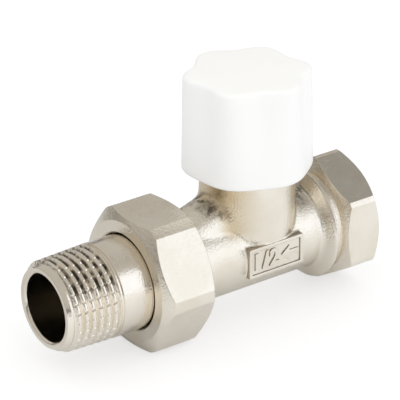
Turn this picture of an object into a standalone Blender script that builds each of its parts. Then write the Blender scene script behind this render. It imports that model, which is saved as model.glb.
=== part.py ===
# Straight radiator valve, DN15, with a union tail, a female socket and a hand knob.
# The pipe run lies along X with the socket at +X, and the stem stands along +Z.
# The origin is where the pipe axis and the stem axis cross.

import math

import bmesh
import bpy
from mathutils import Matrix, Vector

MM = 0.001

# Roundness of the facets
FINE = 44
MEDIUM = 32
COARSE = 20
RING = 6
SHARP_ANGLE = math.radians(25.0)
SHOULDER_STEPS = 10

# Gaps between pieces
FACE_GAP = 0.3 * MM
SEAL_GAP = 0.12 * MM
RUNNING_GAP = 0.15 * MM
THREAD_GAP = 0.3 * MM
KNOB_GAP = 0.5 * MM

# Body forging
TUBE_RADIUS = 9.8 * MM
INLET_BORE_RADIUS = 7.2 * MM
INLET_BORE_END = -12.0 * MM
BODY_END = -26.6 * MM
BODY_THREAD_LENGTH = 6.4 * MM
BODY_THREAD_CHAMFER = 1.0 * MM
BODY_NECKDOWN = 1.6 * MM

SHOULDER_RADIUS = 12.9 * MM
SHOULDER_START = 13.9 * MM
SHOULDER_SLOPE = 2.0
SHOULDER_FILLET = 1.2 * MM
SHOULDER_ROUND = 0.7 * MM
SHOULDER_END = 16.1 * MM
GROOVE_RADIUS = 11.75 * MM

HEX_FLATS = 26.25 * MM
HEX_CORNER_TRIM = 0.35 * MM
HEX_LENGTH = 9.5 * MM
HEX_FRONT_STEP = 0.2 * MM
HEX_FRONT_CHAMFER = 1.4 * MM
HEX_END_CHAMFER = 1.4 * MM
HEX_END_FACE_RADIUS = 12.9 * MM
HEX_TURN = math.radians(31.5)

SOCKET_END = 27.5 * MM
SOCKET_RADIUS = 9.9 * MM
SOCKET_DEPTH = 11.5 * MM
SOCKET_CHAMFER = 0.9 * MM
SOCKET_STOP_RADIUS = 7.4 * MM
SOCKET_STOP_DEPTH = 3.2 * MM

RIDGE_HALF_WIDTH = 6.4 * MM
RIDGE_SLOPE = math.radians(17.0)
RIDGE_TOP_AT_NECK = 13.9 * MM

NECK_RADIUS = 10.72 * MM
NECK_TOP = 20.0 * MM
NECK_FOOT = 3.3 * MM
NECK_FOOT_ROUND = 1.3 * MM
NECK_TOP_CHAMFER = 0.5 * MM

PLATE_LENGTH = 14.8 * MM
PLATE_HEIGHT = 7.2 * MM
PLATE_FACE = 10.9 * MM
PLATE_CENTRE = 0.3 * MM
PLATE_FRAME = 0.8 * MM
PLATE_RECESS = 0.3 * MM
PLATE_ROUND = 0.3 * MM

SEAT_HEIGHT = 4.0 * MM
SEAT_RADIUS = 5.0 * MM
SEAT_WIDTH = 1.2 * MM
SEAT_RISE = 0.8 * MM
CHAMBER_RADIUS = 8.2 * MM
LOWER_PASSAGE_RADIUS = 4.6 * MM
LOWER_PASSAGE_HEIGHT = -2.9 * MM
UPPER_PASSAGE_RADIUS = 4.3 * MM
UPPER_PASSAGE_SLOPE = math.radians(21.8)
UPPER_PASSAGE_HEIGHT = 8.0 * MM
UPPER_PASSAGE_LENGTH = 15.5 * MM

# Union nut
NUT_FLATS = 30.0 * MM
NUT_CORNER_TRIM = 0.72 * MM
NUT_LENGTH = 13.6 * MM
NUT_LIP = 2.3 * MM
NUT_CORNER_CHAMFER = 1.6 * MM
NUT_CHAMFER_SLOPE = math.tan(math.radians(30.0))
NUT_THREAD_RADIUS = 12.65 * MM
NUT_TURN = math.radians(-0.9)

# Tailpiece
TAIL_LENGTH = 25.4 * MM
TAIL_BORE_RADIUS = 7.6 * MM
TAIL_MOUTH_RADIUS = 9.1 * MM
TAIL_MOUTH_CHAMFER = 0.5 * MM
TAIL_THREAD_RADIUS = 10.3 * MM
TAIL_THREAD_TAPER = 1 / 32
TAIL_THREAD_LENGTH = 12.7 * MM
TAIL_SHANK_RADIUS = 10.7 * MM
TAIL_RELIEF_RADIUS = 10.3 * MM
TAIL_RELIEF_LENGTH = 0.5 * MM
TAIL_COLLAR_CLEARANCE = 0.9 * MM
TAIL_COLLAR_LENGTH = 1.8 * MM

GASKET_LAND = 0.4 * MM
GASKET_THICKNESS = 1.6 * MM

# Headwork
BONNET_THREAD_RADIUS = 8.5 * MM
BONNET_NOSE_RADIUS = 7.5 * MM
BONNET_NOSE = 1.5 * MM
BONNET_BOTTOM = 11.6 * MM
BONNET_HEX_FLATS = 19.0 * MM
BONNET_HEX_HEIGHT = 4.0 * MM
BONNET_CROWN_RADIUS = 8.0 * MM
BONNET_SEAL_THICKNESS = 0.9 * MM
BONNET_SEAL_WIDTH = 1.8 * MM
GUIDE_TOP = 20.2 * MM
SEAL_BORE_LENGTH = 5.0 * MM
COLLAR_POCKET_RADIUS = 6.2 * MM

WASHER_THICKNESS = 0.5 * MM
COLLAR_THICKNESS = 1.2 * MM
GLAND_THREAD_LENGTH = 1.7 * MM
GLAND_HEX_FLATS = 13.0 * MM
GLAND_HEX_HEIGHT = 2.2 * MM
WIPER_WIDTH = 1.3 * MM
WIPER_DEPTH = 1.3 * MM

SPINDLE_SEAL_RADIUS = 4.1 * MM
SPINDLE_THREAD_RADIUS = 2.9 * MM
SPINDLE_STEM_RADIUS = 3.0 * MM
SPINDLE_COLLAR_RADIUS = 5.6 * MM
SPINDLE_TIP = 12.9 * MM
SPLINE_TEETH = 12
SPLINE_DEPTH = 0.45 * MM
SPLINE_GAP = 0.12 * MM
SEAL_GROOVE_WIDTH = 1.4 * MM
SEAL_GROOVE_DEPTH = 1.3 * MM
SEAL_GROOVE_EDGE = 0.7 * MM

# Plug and its soft disc
PLUG_STROKE = 3.0 * MM
PLUG_TOP = 16.8 * MM
PLUG_GUIDE_FLATS = 10.5 * MM
PLUG_FLANGE_RADIUS = 7.3 * MM
PLUG_FLANGE_THICKNESS = 1.4 * MM
DISC_RADIUS = 6.9 * MM
DISC_THICKNESS = 2.2 * MM
DISC_WASHER_RADIUS = 4.0 * MM
DISC_WASHER_THICKNESS = 0.8 * MM
SCREW_RADIUS = 1.5 * MM
SCREW_HEAD_RADIUS = 2.7 * MM
SCREW_HEAD_HEIGHT = 1.6 * MM
SCREW_SLOT_WIDTH = 0.7 * MM
SCREW_SLOT_DEPTH = 0.6 * MM
SCREW_LENGTH = 5.2 * MM

# Knob
KNOB_TOP = 41.5 * MM
KNOB_BOTTOM = 18.8 * MM
KNOB_LOBES = 6
KNOB_LOBE_TURN = math.radians(36.5)
KNOB_TOP_RADIUS = 14.15 * MM
KNOB_BOTTOM_RADIUS = 14.7 * MM
KNOB_FLUTE_TOP_DEPTH = 2.2 * MM
KNOB_FLUTE_BOTTOM_DEPTH = 0.7 * MM
KNOB_EDGE_ROUND = 1.5 * MM
KNOB_RIM_ROUND = 0.4 * MM
KNOB_CAVITY_RADIUS = 12.1 * MM
KNOB_CAVITY_TOP_RADIUS = 9.6 * MM
KNOB_ROOF = 1.8 * MM
KNOB_BOSS_RADIUS = 6.2 * MM
KNOB_RIBS = 6
KNOB_RIB_THICKNESS = 1.2 * MM
KNOB_RIB_DROP = 5.0 * MM
INSERT_RADIUS = 4.8 * MM
INSERT_FLANGE_RADIUS = 5.4 * MM
INSERT_FLANGE = 0.8 * MM
INSERT_LENGTH = 6.2 * MM
CLIP_WIRE = 0.36 * MM
CLIP_GROOVE_WIDTH = 1.1 * MM
CLIP_GROOVE_DEPTH = 1.3 * MM
CLIP_OPENING = math.radians(50.0)

# Places that follow from the sizes above
HEX_START = SOCKET_END - HEX_LENGTH
HEX_CORNER_RADIUS = HEX_FLATS / 2 / math.cos(math.pi / 6) - HEX_CORNER_TRIM
BODY_SHOULDER = BODY_END + BODY_THREAD_LENGTH
BODY_THREAD_RADIUS = NUT_THREAD_RADIUS - THREAD_GAP / 2
NUT_BORE_RADIUS = NUT_THREAD_RADIUS + THREAD_GAP / 2
TAIL_COLLAR_RADIUS = NUT_BORE_RADIUS - TAIL_COLLAR_CLEARANCE
GASKET_INNER_RADIUS = TAIL_BORE_RADIUS + GASKET_LAND
GASKET_END = BODY_END - FACE_GAP
TAIL_END = GASKET_END - GASKET_THICKNESS - FACE_GAP
TAIL_START = TAIL_END - TAIL_LENGTH
COLLAR_START = TAIL_END - TAIL_COLLAR_LENGTH
NUT_START = COLLAR_START - FACE_GAP - NUT_LIP
NUT_CORNER_RADIUS = NUT_FLATS / 2 / math.cos(math.pi / 6) - NUT_CORNER_TRIM
NUT_END = NUT_START + NUT_LENGTH
NUT_HOLE_RADIUS = TAIL_SHANK_RADIUS + THREAD_GAP
CHAMBER_FLOOR = SEAT_HEIGHT - SEAT_RISE
BONNET_BORE_RADIUS = BONNET_THREAD_RADIUS + THREAD_GAP
BONNET_BORE_BOTTOM = BONNET_BOTTOM + BONNET_NOSE - FACE_GAP
BONNET_FLANGE = NECK_TOP + 2 * FACE_GAP + BONNET_SEAL_THICKNESS
BONNET_HEX_TOP = BONNET_FLANGE + BONNET_HEX_HEIGHT
SEAL_BORE_RADIUS = SPINDLE_SEAL_RADIUS + RUNNING_GAP
COLLAR_POCKET_FLOOR = GUIDE_TOP + SEAL_BORE_LENGTH
LOWER_WASHER = COLLAR_POCKET_FLOOR + RUNNING_GAP
SPINDLE_COLLAR = LOWER_WASHER + WASHER_THICKNESS + RUNNING_GAP
UPPER_WASHER = SPINDLE_COLLAR + COLLAR_THICKNESS + RUNNING_GAP
GLAND_BOTTOM = UPPER_WASHER + WASHER_THICKNESS + RUNNING_GAP
BONNET_TOP = GLAND_BOTTOM + GLAND_THREAD_LENGTH
GLAND_HEX = BONNET_TOP + FACE_GAP
GLAND_TOP = GLAND_HEX + GLAND_HEX_HEIGHT
GLAND_RADIUS = COLLAR_POCKET_RADIUS - RUNNING_GAP
STEM_BORE_RADIUS = SPINDLE_STEM_RADIUS + RUNNING_GAP
KNOB_CEILING = KNOB_TOP - KNOB_ROOF
BOSS_BOTTOM = GLAND_TOP + KNOB_GAP
INSERT_BOTTOM = BOSS_BOTTOM + FACE_GAP
INSERT_TOP = INSERT_BOTTOM + INSERT_LENGTH
SPINDLE_TOP = INSERT_TOP - FACE_GAP
SPLINE_BOTTOM = INSERT_BOTTOM - FACE_GAP
CLIP_HEIGHT = (INSERT_BOTTOM + INSERT_TOP) / 2
DISC_BOTTOM = SEAT_HEIGHT + FACE_GAP
DISC_TOP = DISC_BOTTOM + DISC_THICKNESS
PLUG_BOTTOM = DISC_TOP + FACE_GAP
PLUG_FLANGE_TOP = PLUG_BOTTOM + PLUG_FLANGE_THICKNESS
PLUG_BORE_BOTTOM = SPINDLE_TIP - PLUG_STROKE - FACE_GAP
DISC_WASHER_TOP = DISC_BOTTOM - FACE_GAP
DISC_WASHER_BOTTOM = DISC_WASHER_TOP - DISC_WASHER_THICKNESS
SCREW_HEAD_TOP = DISC_WASHER_BOTTOM - FACE_GAP
SCREW_TOP = SCREW_HEAD_TOP + SCREW_LENGTH
CUT_OVERRUN = 2.0 * MM


# Scene and materials

def empty_scene():
    for obj in list(bpy.data.objects):
        bpy.data.objects.remove(obj, do_unlink=True)


def new_collection(name):
    collection = bpy.data.collections.new(name)
    bpy.context.scene.collection.children.link(collection)
    return collection


def new_material(name, color, roughness, metallic):
    material = bpy.data.materials.new(name)
    material.use_nodes = True
    shader = material.node_tree.nodes["Principled BSDF"]
    shader.inputs["Base Color"].default_value = (*color, 1.0)
    shader.inputs["Roughness"].default_value = roughness
    shader.inputs["Metallic"].default_value = metallic
    material.diffuse_color = (*color, 1.0)
    return material


empty_scene()
PARTS = new_collection("straight_valve")
TOOLS = new_collection("cutters_and_forms")
TOOLS.hide_render = True

NICKEL = new_material("satin_nickel", (0.62, 0.60, 0.56), 0.36, 1.0)
THREAD_NICKEL = new_material("bright_nickel", (0.72, 0.69, 0.64), 0.18, 1.0)
BRASS = new_material("brass", (0.70, 0.52, 0.27), 0.3, 1.0)
WHITE_PLASTIC = new_material("white_plastic", (0.85, 0.85, 0.84), 0.42, 0.0)
RUBBER = new_material("black_rubber", (0.03, 0.03, 0.03), 0.7, 0.0)
PTFE = new_material("white_ptfe", (0.78, 0.78, 0.76), 0.5, 0.0)
SPRING_STEEL = new_material("spring_steel", (0.45, 0.45, 0.46), 0.3, 1.0)


# Modelling helpers

def add_mesh(name, mesh, collection, material=None):
    obj = bpy.data.objects.new(name, mesh)
    collection.objects.link(obj)
    if material:
        mesh.materials.append(material)
    if collection is TOOLS:
        obj.hide_render = True
        obj.display_type = "WIRE"
    return obj


# A closed outline is a ring with a hole, an open one starts and ends on the axis.
# Each point is (radius, height), going down the outer side first.
def turned(name, outline, steps, closed=True, collection=None, material=None, along_x=False):
    mesh = bpy.data.meshes.new(name)
    points = [(radius, 0.0, height) for radius, height in outline]
    edges = [(i, i + 1) for i in range(len(points) - 1)]
    if closed:
        edges.append((len(points) - 1, 0))
    mesh.from_pydata(points, edges, [])
    obj = add_mesh(name, mesh, collection or PARTS, material)
    screw = obj.modifiers.new("Turn", "SCREW")
    screw.axis = "Z"
    screw.angle = math.tau
    screw.steps = steps
    screw.render_steps = steps
    screw.use_merge_vertices = True
    screw.merge_threshold = 0.00001
    screw.use_smooth_shade = True
    if along_x:
        obj.rotation_euler = (0.0, math.radians(90.0), 0.0)
    return obj


def rod(name, radius, bottom, top, steps=MEDIUM, along_x=False):
    outline = [(0.0, top), (radius, top), (radius, bottom), (0.0, bottom)]
    return turned(name, outline, steps, closed=False, collection=TOOLS, along_x=along_x)


def prism(name, flats, bottom, top, turn=0.0, along_x=False, sides=6):
    shape = bmesh.new()
    corner = flats / 2 / math.cos(math.pi / sides)
    bmesh.ops.create_cone(
        shape, cap_ends=True, segments=sides, radius1=corner, radius2=corner, depth=top - bottom
    )
    bmesh.ops.translate(shape, verts=shape.verts, vec=(0.0, 0.0, (top + bottom) / 2))
    if along_x:
        # A corner that points at -Y, lifted by the turn towards +Z
        bmesh.ops.transform(shape, matrix=Matrix.Rotation(math.radians(90.0), 4, "Y"), verts=shape.verts)
        first = max(shape.verts, key=lambda vert: -vert.co.y).co.copy()
        offset = math.atan2(first.z, -first.y)
        bmesh.ops.transform(shape, matrix=Matrix.Rotation(offset - turn, 4, "X"), verts=shape.verts)
    mesh = bpy.data.meshes.new(name)
    shape.to_mesh(mesh)
    shape.free()
    return add_mesh(name, mesh, TOOLS)


def boolean(obj, tool, operation):
    modifier = obj.modifiers.new(f"{operation.title()} {tool.name}", "BOOLEAN")
    modifier.operation = operation
    modifier.solver = "EXACT"
    modifier.object = tool
    return obj


def cut(obj, *tools):
    for tool in tools:
        boolean(obj, tool, "DIFFERENCE")
    return obj


def join(obj, *tools):
    for tool in tools:
        boolean(obj, tool, "UNION")
    return obj


def keep_inside(obj, tool):
    return boolean(obj, tool, "INTERSECT")


# A bead with a round section, like an O-ring
def bead(name, ring_radius, wire_radius, height, material, opening=0.0):
    steps = COARSE
    if not opening:
        outline = []
        for i in range(RING):
            angle = math.tau * (0.5 - i) / RING
            outline.append((
                ring_radius + wire_radius * math.cos(angle), height + wire_radius * math.sin(angle)
            ))
        return turned(name, outline, MEDIUM, material=material)
    curve = bpy.data.curves.new(name, "CURVE")
    curve.dimensions = "3D"
    curve.bevel_depth = wire_radius
    curve.bevel_resolution = 1
    curve.use_fill_caps = True
    spline = curve.splines.new("POLY")
    spline.points.add(steps)
    for i, point in enumerate(spline.points):
        angle = opening / 2 + (math.tau - opening) * i / steps
        point.co = (ring_radius * math.cos(angle), ring_radius * math.sin(angle), height, 1.0)
    obj = bpy.data.objects.new(name, curve)
    PARTS.objects.link(obj)
    curve.materials.append(material)
    return obj


def washer(name, inner, outer, bottom, thickness, material, steps=MEDIUM):
    top = bottom + thickness
    outline = [(outer, top), (outer, bottom), (inner, bottom), (inner, top)]
    return turned(name, outline, steps, material=material)


# Quarter round between two directions, as points on an arc about a centre
def arc(centre, radius, start, end, count):
    points = []
    for i in range(count + 1):
        angle = math.radians(start + (end - start) * i / count)
        points.append((centre[0] + radius * math.cos(angle), centre[1] + radius * math.sin(angle)))
    return points


# Body forging

# The lesser of two lengths, with a rounding where they are nearly equal
def soft_min(first, second, rounding):
    closeness = max(rounding - abs(first - second), 0.0) / rounding
    return min(first, second) - closeness * closeness * rounding / 4


# The shoulder is a steep cone with a fillet at its foot and a rounded edge.
def shoulder_radius(x):
    cone = TUBE_RADIUS + SHOULDER_SLOPE * (x - SHOULDER_START)
    filleted = -soft_min(-TUBE_RADIUS, -cone, SHOULDER_FILLET)
    return soft_min(filleted, SHOULDER_RADIUS, SHOULDER_ROUND)


def body_run_outline():
    run_end = HEX_START + FACE_GAP
    outline = [(0.0, run_end), (GROOVE_RADIUS, run_end), (GROOVE_RADIUS, SHOULDER_END + FACE_GAP)]
    foot = SHOULDER_START - SHOULDER_FILLET / SHOULDER_SLOPE
    for i in range(SHOULDER_STEPS + 1):
        x = SHOULDER_END + (foot - SHOULDER_END) * i / SHOULDER_STEPS
        outline.append((shoulder_radius(x), x))
    tube_start = BODY_SHOULDER + BODY_NECKDOWN
    outline.append((TUBE_RADIUS, tube_start))
    outline.append((TUBE_RADIUS + BODY_NECKDOWN / 3, tube_start - BODY_NECKDOWN / 2))
    outline.append((BODY_THREAD_RADIUS, BODY_SHOULDER))
    outline.append((BODY_THREAD_RADIUS, BODY_END + BODY_THREAD_CHAMFER))
    outline.append((BODY_THREAD_RADIUS - BODY_THREAD_CHAMFER, BODY_END))
    outline.append((0.0, BODY_END))
    return outline


def hex_end():
    front_radius = GROOVE_RADIUS + HEX_FRONT_STEP
    outline = [
        (0.0, SOCKET_END),
        (HEX_END_FACE_RADIUS, SOCKET_END),
        (HEX_CORNER_RADIUS, SOCKET_END - HEX_END_CHAMFER),
        (HEX_CORNER_RADIUS, HEX_START + HEX_FRONT_CHAMFER),
        (front_radius, HEX_START),
        (0.0, HEX_START),
    ]
    blank = turned("hex_blank", outline, FINE, closed=False, collection=TOOLS, along_x=True)
    flats = prism(
        "hex_flats", HEX_FLATS, HEX_START - CUT_OVERRUN, SOCKET_END + CUT_OVERRUN, HEX_TURN, along_x=True
    )
    return keep_inside(blank, flats)


def neck():
    rounding = arc(
        (NECK_RADIUS - NECK_FOOT_ROUND, NECK_FOOT + NECK_FOOT_ROUND), NECK_FOOT_ROUND, 0, -90, 4
    )
    outline = [
        (0.0, NECK_TOP),
        (NECK_RADIUS - NECK_TOP_CHAMFER, NECK_TOP),
        (NECK_RADIUS, NECK_TOP - NECK_TOP_CHAMFER),
        *rounding,
        (0.0, NECK_FOOT),
    ]
    return turned("neck", outline, FINE, closed=False, collection=TOOLS)


# The round-topped ridge carries the upper passage from the tail side to the neck.
def ridge():
    length = -BODY_SHOULDER / math.cos(RIDGE_SLOPE)
    level_top = RIDGE_TOP_AT_NECK + NECK_RADIUS * math.tan(RIDGE_SLOPE)
    crown = level_top * math.cos(RIDGE_SLOPE) - RIDGE_HALF_WIDTH
    points = [(-RIDGE_HALF_WIDTH, 0.0), (RIDGE_HALF_WIDTH, 0.0)]
    points += arc((0.0, crown), RIDGE_HALF_WIDTH, 0, 180, 14)
    curve = bpy.data.curves.new("ridge", "CURVE")
    curve.dimensions = "2D"
    curve.fill_mode = "BOTH"
    curve.extrude = length / 2
    spline = curve.splines.new("POLY")
    spline.points.add(len(points) - 1)
    spline.use_cyclic_u = True
    for point, (across, up) in zip(spline.points, points):
        point.co = (across, up, 0.0, 1.0)
    guide = bpy.data.objects.new("ridge_guide", curve)
    TOOLS.objects.link(guide)
    stand = Matrix.Rotation(math.radians(90.0), 4, "Z") @ Matrix.Rotation(math.radians(90.0), 4, "X")
    lean = Matrix.Rotation(-RIDGE_SLOPE, 4, "Y")
    guide.matrix_world = lean @ Matrix.Translation((-length / 2, 0.0, 0.0)) @ stand
    return as_mesh(guide, "ridge")


def as_mesh(guide, name):
    bpy.context.view_layer.update()
    graph = bpy.context.evaluated_depsgraph_get()
    mesh = bpy.data.meshes.new_from_object(guide.evaluated_get(graph))
    shape = bmesh.new()
    shape.from_mesh(mesh)
    bmesh.ops.remove_doubles(shape, verts=shape.verts, dist=0.00001)
    bmesh.ops.recalc_face_normals(shape, faces=shape.faces)
    shape.to_mesh(mesh)
    shape.free()
    obj = add_mesh(name, mesh, TOOLS)
    obj.matrix_world = guide.matrix_world
    bpy.data.objects.remove(guide, do_unlink=True)
    return obj


# The finished mesh takes the place of the modifiers, with its round faces shaded smooth.
def settled(obj):
    bpy.context.view_layer.update()
    graph = bpy.context.evaluated_depsgraph_get()
    mesh = bpy.data.meshes.new_from_object(obj.evaluated_get(graph))
    mesh.shade_smooth()
    mesh.set_sharp_from_angle(angle=SHARP_ANGLE)
    obj.modifiers.clear()
    obj.data = mesh
    return obj


def block(name, size, centre, rounding=0.0):
    shape = bmesh.new()
    bmesh.ops.create_cube(shape, size=1.0)
    bmesh.ops.scale(shape, vec=size, verts=shape.verts)
    mesh = bpy.data.meshes.new(name)
    shape.to_mesh(mesh)
    shape.free()
    obj = add_mesh(name, mesh, TOOLS)
    obj.location = centre
    if rounding:
        bevel = obj.modifiers.new("Round", "BEVEL")
        bevel.width = rounding
        bevel.segments = 2
        bevel.limit_method = "ANGLE"
    return obj


def marking_plate():
    depth = PLATE_FACE - TUBE_RADIUS / 2
    plate = block(
        "marking_plate",
        (PLATE_LENGTH, depth, PLATE_HEIGHT),
        (0.0, -(PLATE_FACE - depth / 2), PLATE_CENTRE),
        PLATE_ROUND,
    )
    field = block(
        "marking_field",
        (PLATE_LENGTH - 2 * PLATE_FRAME, 2 * PLATE_RECESS, PLATE_HEIGHT - 2 * PLATE_FRAME),
        (0.0, -PLATE_FACE, PLATE_CENTRE),
    )
    return cut(plate, field)


def body_passages():
    socket_floor = SOCKET_END - SOCKET_DEPTH
    stop_floor = socket_floor - SOCKET_STOP_DEPTH
    socket = turned(
        "socket_cut",
        [
            (0.0, SOCKET_END + CUT_OVERRUN),
            (SOCKET_RADIUS + SOCKET_CHAMFER + CUT_OVERRUN, SOCKET_END + CUT_OVERRUN),
            (SOCKET_RADIUS, SOCKET_END - SOCKET_CHAMFER),
            (SOCKET_RADIUS, socket_floor),
            (SOCKET_STOP_RADIUS, socket_floor),
            (SOCKET_STOP_RADIUS, stop_floor + SOCKET_STOP_DEPTH / 3),
            (LOWER_PASSAGE_RADIUS / 2, stop_floor),
            (0.0, stop_floor),
        ],
        MEDIUM,
        closed=False,
        collection=TOOLS,
        along_x=True,
    )
    lower = rod("lower_passage_cut", LOWER_PASSAGE_RADIUS, 0.0, socket_floor - MM, along_x=True)
    lower.location.z = LOWER_PASSAGE_HEIGHT
    inlet = rod("inlet_cut", INLET_BORE_RADIUS, BODY_END - CUT_OVERRUN, INLET_BORE_END, along_x=True)
    upper = rod("upper_passage_cut", UPPER_PASSAGE_RADIUS, -UPPER_PASSAGE_LENGTH, SEAT_RADIUS, along_x=True)
    upper.rotation_euler.y -= UPPER_PASSAGE_SLOPE
    upper.location = (-CHAMBER_RADIUS, 0.0, UPPER_PASSAGE_HEIGHT)
    return [socket, lower, inlet, upper]


def chamber_cut():
    top = NECK_TOP + CUT_OVERRUN
    seat_outer = SEAT_RADIUS + SEAT_WIDTH
    pocket_floor = LOWER_PASSAGE_HEIGHT - LOWER_PASSAGE_RADIUS / 2
    outline = [
        (0.0, top),
        (BONNET_BORE_RADIUS, top),
        (BONNET_BORE_RADIUS, BONNET_BORE_BOTTOM),
        (CHAMBER_RADIUS, BONNET_BORE_BOTTOM - FACE_GAP),
        (CHAMBER_RADIUS, CHAMBER_FLOOR),
        (seat_outer, CHAMBER_FLOOR),
        (seat_outer - SEAT_RISE / 2, SEAT_HEIGHT),
        (SEAT_RADIUS, SEAT_HEIGHT),
        (SEAT_RADIUS, pocket_floor),
        (0.0, pocket_floor),
    ]
    return turned("chamber_cut", outline, MEDIUM, closed=False, collection=TOOLS)


def valve_body():
    body = turned("valve_body", body_run_outline(), FINE, closed=False, material=NICKEL, along_x=True)
    join(body, hex_end(), ridge(), neck(), marking_plate())
    cut(body, chamber_cut(), *body_passages())
    return settled(body)


# Union nut and tailpiece

def union_nut():
    face_drop = NUT_CORNER_CHAMFER / NUT_CHAMFER_SLOPE
    outline = [
        (NUT_CORNER_RADIUS - face_drop, NUT_END),
        (NUT_CORNER_RADIUS, NUT_END - NUT_CORNER_CHAMFER),
        (NUT_CORNER_RADIUS, NUT_START + NUT_CORNER_CHAMFER),
        (NUT_CORNER_RADIUS - face_drop, NUT_START),
        (NUT_HOLE_RADIUS, NUT_START),
        (NUT_HOLE_RADIUS, NUT_START + NUT_LIP),
        (NUT_BORE_RADIUS, NUT_START + NUT_LIP),
        (NUT_BORE_RADIUS, NUT_END),
    ]
    nut = turned("union_nut", outline, FINE, material=NICKEL, along_x=True)
    flats = prism(
        "nut_flats", NUT_FLATS, NUT_START - CUT_OVERRUN, NUT_END + CUT_OVERRUN, NUT_TURN, along_x=True
    )
    return settled(keep_inside(nut, flats))


def tailpiece():
    thread_start = TAIL_START + TAIL_THREAD_RADIUS - TAIL_MOUTH_RADIUS
    thread_end = thread_start + TAIL_THREAD_LENGTH
    relief_end = thread_end + TAIL_RELIEF_LENGTH
    outline = [
        (TAIL_COLLAR_RADIUS, TAIL_END),
        (TAIL_COLLAR_RADIUS, COLLAR_START),
        (TAIL_SHANK_RADIUS, COLLAR_START),
        (TAIL_SHANK_RADIUS, relief_end),
        (TAIL_RELIEF_RADIUS, relief_end),
        (TAIL_RELIEF_RADIUS, thread_end),
        (TAIL_THREAD_RADIUS + TAIL_THREAD_LENGTH * TAIL_THREAD_TAPER, thread_end),
        (TAIL_THREAD_RADIUS, thread_start),
        (TAIL_MOUTH_RADIUS, TAIL_START),
        (TAIL_BORE_RADIUS + TAIL_MOUTH_CHAMFER, TAIL_START),
        (TAIL_BORE_RADIUS, TAIL_START + TAIL_MOUTH_CHAMFER),
        (TAIL_BORE_RADIUS, TAIL_END),
    ]
    return turned("tailpiece", outline, FINE, material=THREAD_NICKEL, along_x=True)


def tail_gasket():
    outline = [
        (TAIL_COLLAR_RADIUS, GASKET_END),
        (TAIL_COLLAR_RADIUS, GASKET_END - GASKET_THICKNESS),
        (GASKET_INNER_RADIUS, GASKET_END - GASKET_THICKNESS),
        (GASKET_INNER_RADIUS, GASKET_END),
    ]
    return turned("tail_gasket", outline, MEDIUM, material=RUBBER, along_x=True)


# Headwork: bonnet, gland nut, spindle, washers and seals

def bonnet():
    outline = [
        (BONNET_CROWN_RADIUS, BONNET_TOP),
        (BONNET_CROWN_RADIUS, BONNET_HEX_TOP),
        (BONNET_HEX_FLATS, BONNET_HEX_TOP),
        (BONNET_HEX_FLATS, BONNET_FLANGE),
        (BONNET_THREAD_RADIUS, BONNET_FLANGE),
        (BONNET_THREAD_RADIUS, BONNET_BOTTOM + BONNET_NOSE),
        (BONNET_NOSE_RADIUS, BONNET_BOTTOM + BONNET_NOSE),
        (BONNET_NOSE_RADIUS, BONNET_BOTTOM),
        (SEAL_BORE_RADIUS, BONNET_BOTTOM),
        (SEAL_BORE_RADIUS, COLLAR_POCKET_FLOOR),
        (COLLAR_POCKET_RADIUS, COLLAR_POCKET_FLOOR),
        (COLLAR_POCKET_RADIUS, BONNET_TOP),
    ]
    shell = turned("bonnet", outline, MEDIUM, material=BRASS)
    keep_inside(shell, prism("bonnet_flats", BONNET_HEX_FLATS, BONNET_BOTTOM - MM, BONNET_TOP + MM))
    guide_flats = PLUG_GUIDE_FLATS + 2 * RUNNING_GAP
    cut(shell, prism("guide_cut", guide_flats, BONNET_BOTTOM - CUT_OVERRUN, GUIDE_TOP))
    return settled(shell)


def gland_nut():
    wiper_top = GLAND_TOP - FACE_GAP - WIPER_WIDTH / 2
    wiper_bottom = wiper_top - WIPER_WIDTH
    outline = [
        (GLAND_HEX_FLATS, GLAND_TOP),
        (GLAND_HEX_FLATS, GLAND_HEX),
        (GLAND_RADIUS, GLAND_HEX),
        (GLAND_RADIUS, GLAND_BOTTOM),
        (STEM_BORE_RADIUS, GLAND_BOTTOM),
        (STEM_BORE_RADIUS, wiper_bottom),
        (STEM_BORE_RADIUS + WIPER_DEPTH, wiper_bottom),
        (STEM_BORE_RADIUS + WIPER_DEPTH, wiper_top),
        (STEM_BORE_RADIUS, wiper_top),
        (STEM_BORE_RADIUS, GLAND_TOP),
    ]
    nut = turned("gland_nut", outline, MEDIUM, material=BRASS)
    keep_inside(nut, prism("gland_flats", GLAND_HEX_FLATS, GLAND_BOTTOM - MM, GLAND_TOP + MM))
    return settled(nut)


def spindle_wiper():
    groove_outer = STEM_BORE_RADIUS + WIPER_DEPTH
    wire = (groove_outer - SPINDLE_STEM_RADIUS) / 2 - SEAL_GAP
    centre = (groove_outer + SPINDLE_STEM_RADIUS) / 2
    height = GLAND_TOP - FACE_GAP - WIPER_WIDTH
    return bead("spindle_wiper", centre, min(wire, WIPER_WIDTH / 2 - SEAL_GAP), height, RUBBER)


def seal_grooves():
    floor = GUIDE_TOP + SEAL_GROOVE_EDGE
    pitch = SEAL_GROOVE_WIDTH + SEAL_GROOVE_EDGE
    return [floor, floor + pitch]


# A rod whose section is a star of equal teeth
def splined_rod(name, crest, bottom, top):
    points = []
    for i in range(2 * SPLINE_TEETH):
        radius = crest if i % 2 == 0 else crest - SPLINE_DEPTH
        angle = math.tau * i / (2 * SPLINE_TEETH)
        points.append((radius * math.cos(angle), radius * math.sin(angle)))
    curve = bpy.data.curves.new(name, "CURVE")
    curve.dimensions = "2D"
    curve.fill_mode = "BOTH"
    curve.extrude = (top - bottom) / 2
    spline = curve.splines.new("POLY")
    spline.points.add(len(points) - 1)
    spline.use_cyclic_u = True
    for point, (x, y) in zip(spline.points, points):
        point.co = (x, y, 0.0, 1.0)
    guide = bpy.data.objects.new(f"{name}_guide", curve)
    guide.location.z = (top + bottom) / 2
    TOOLS.objects.link(guide)
    return as_mesh(guide, name)


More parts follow.
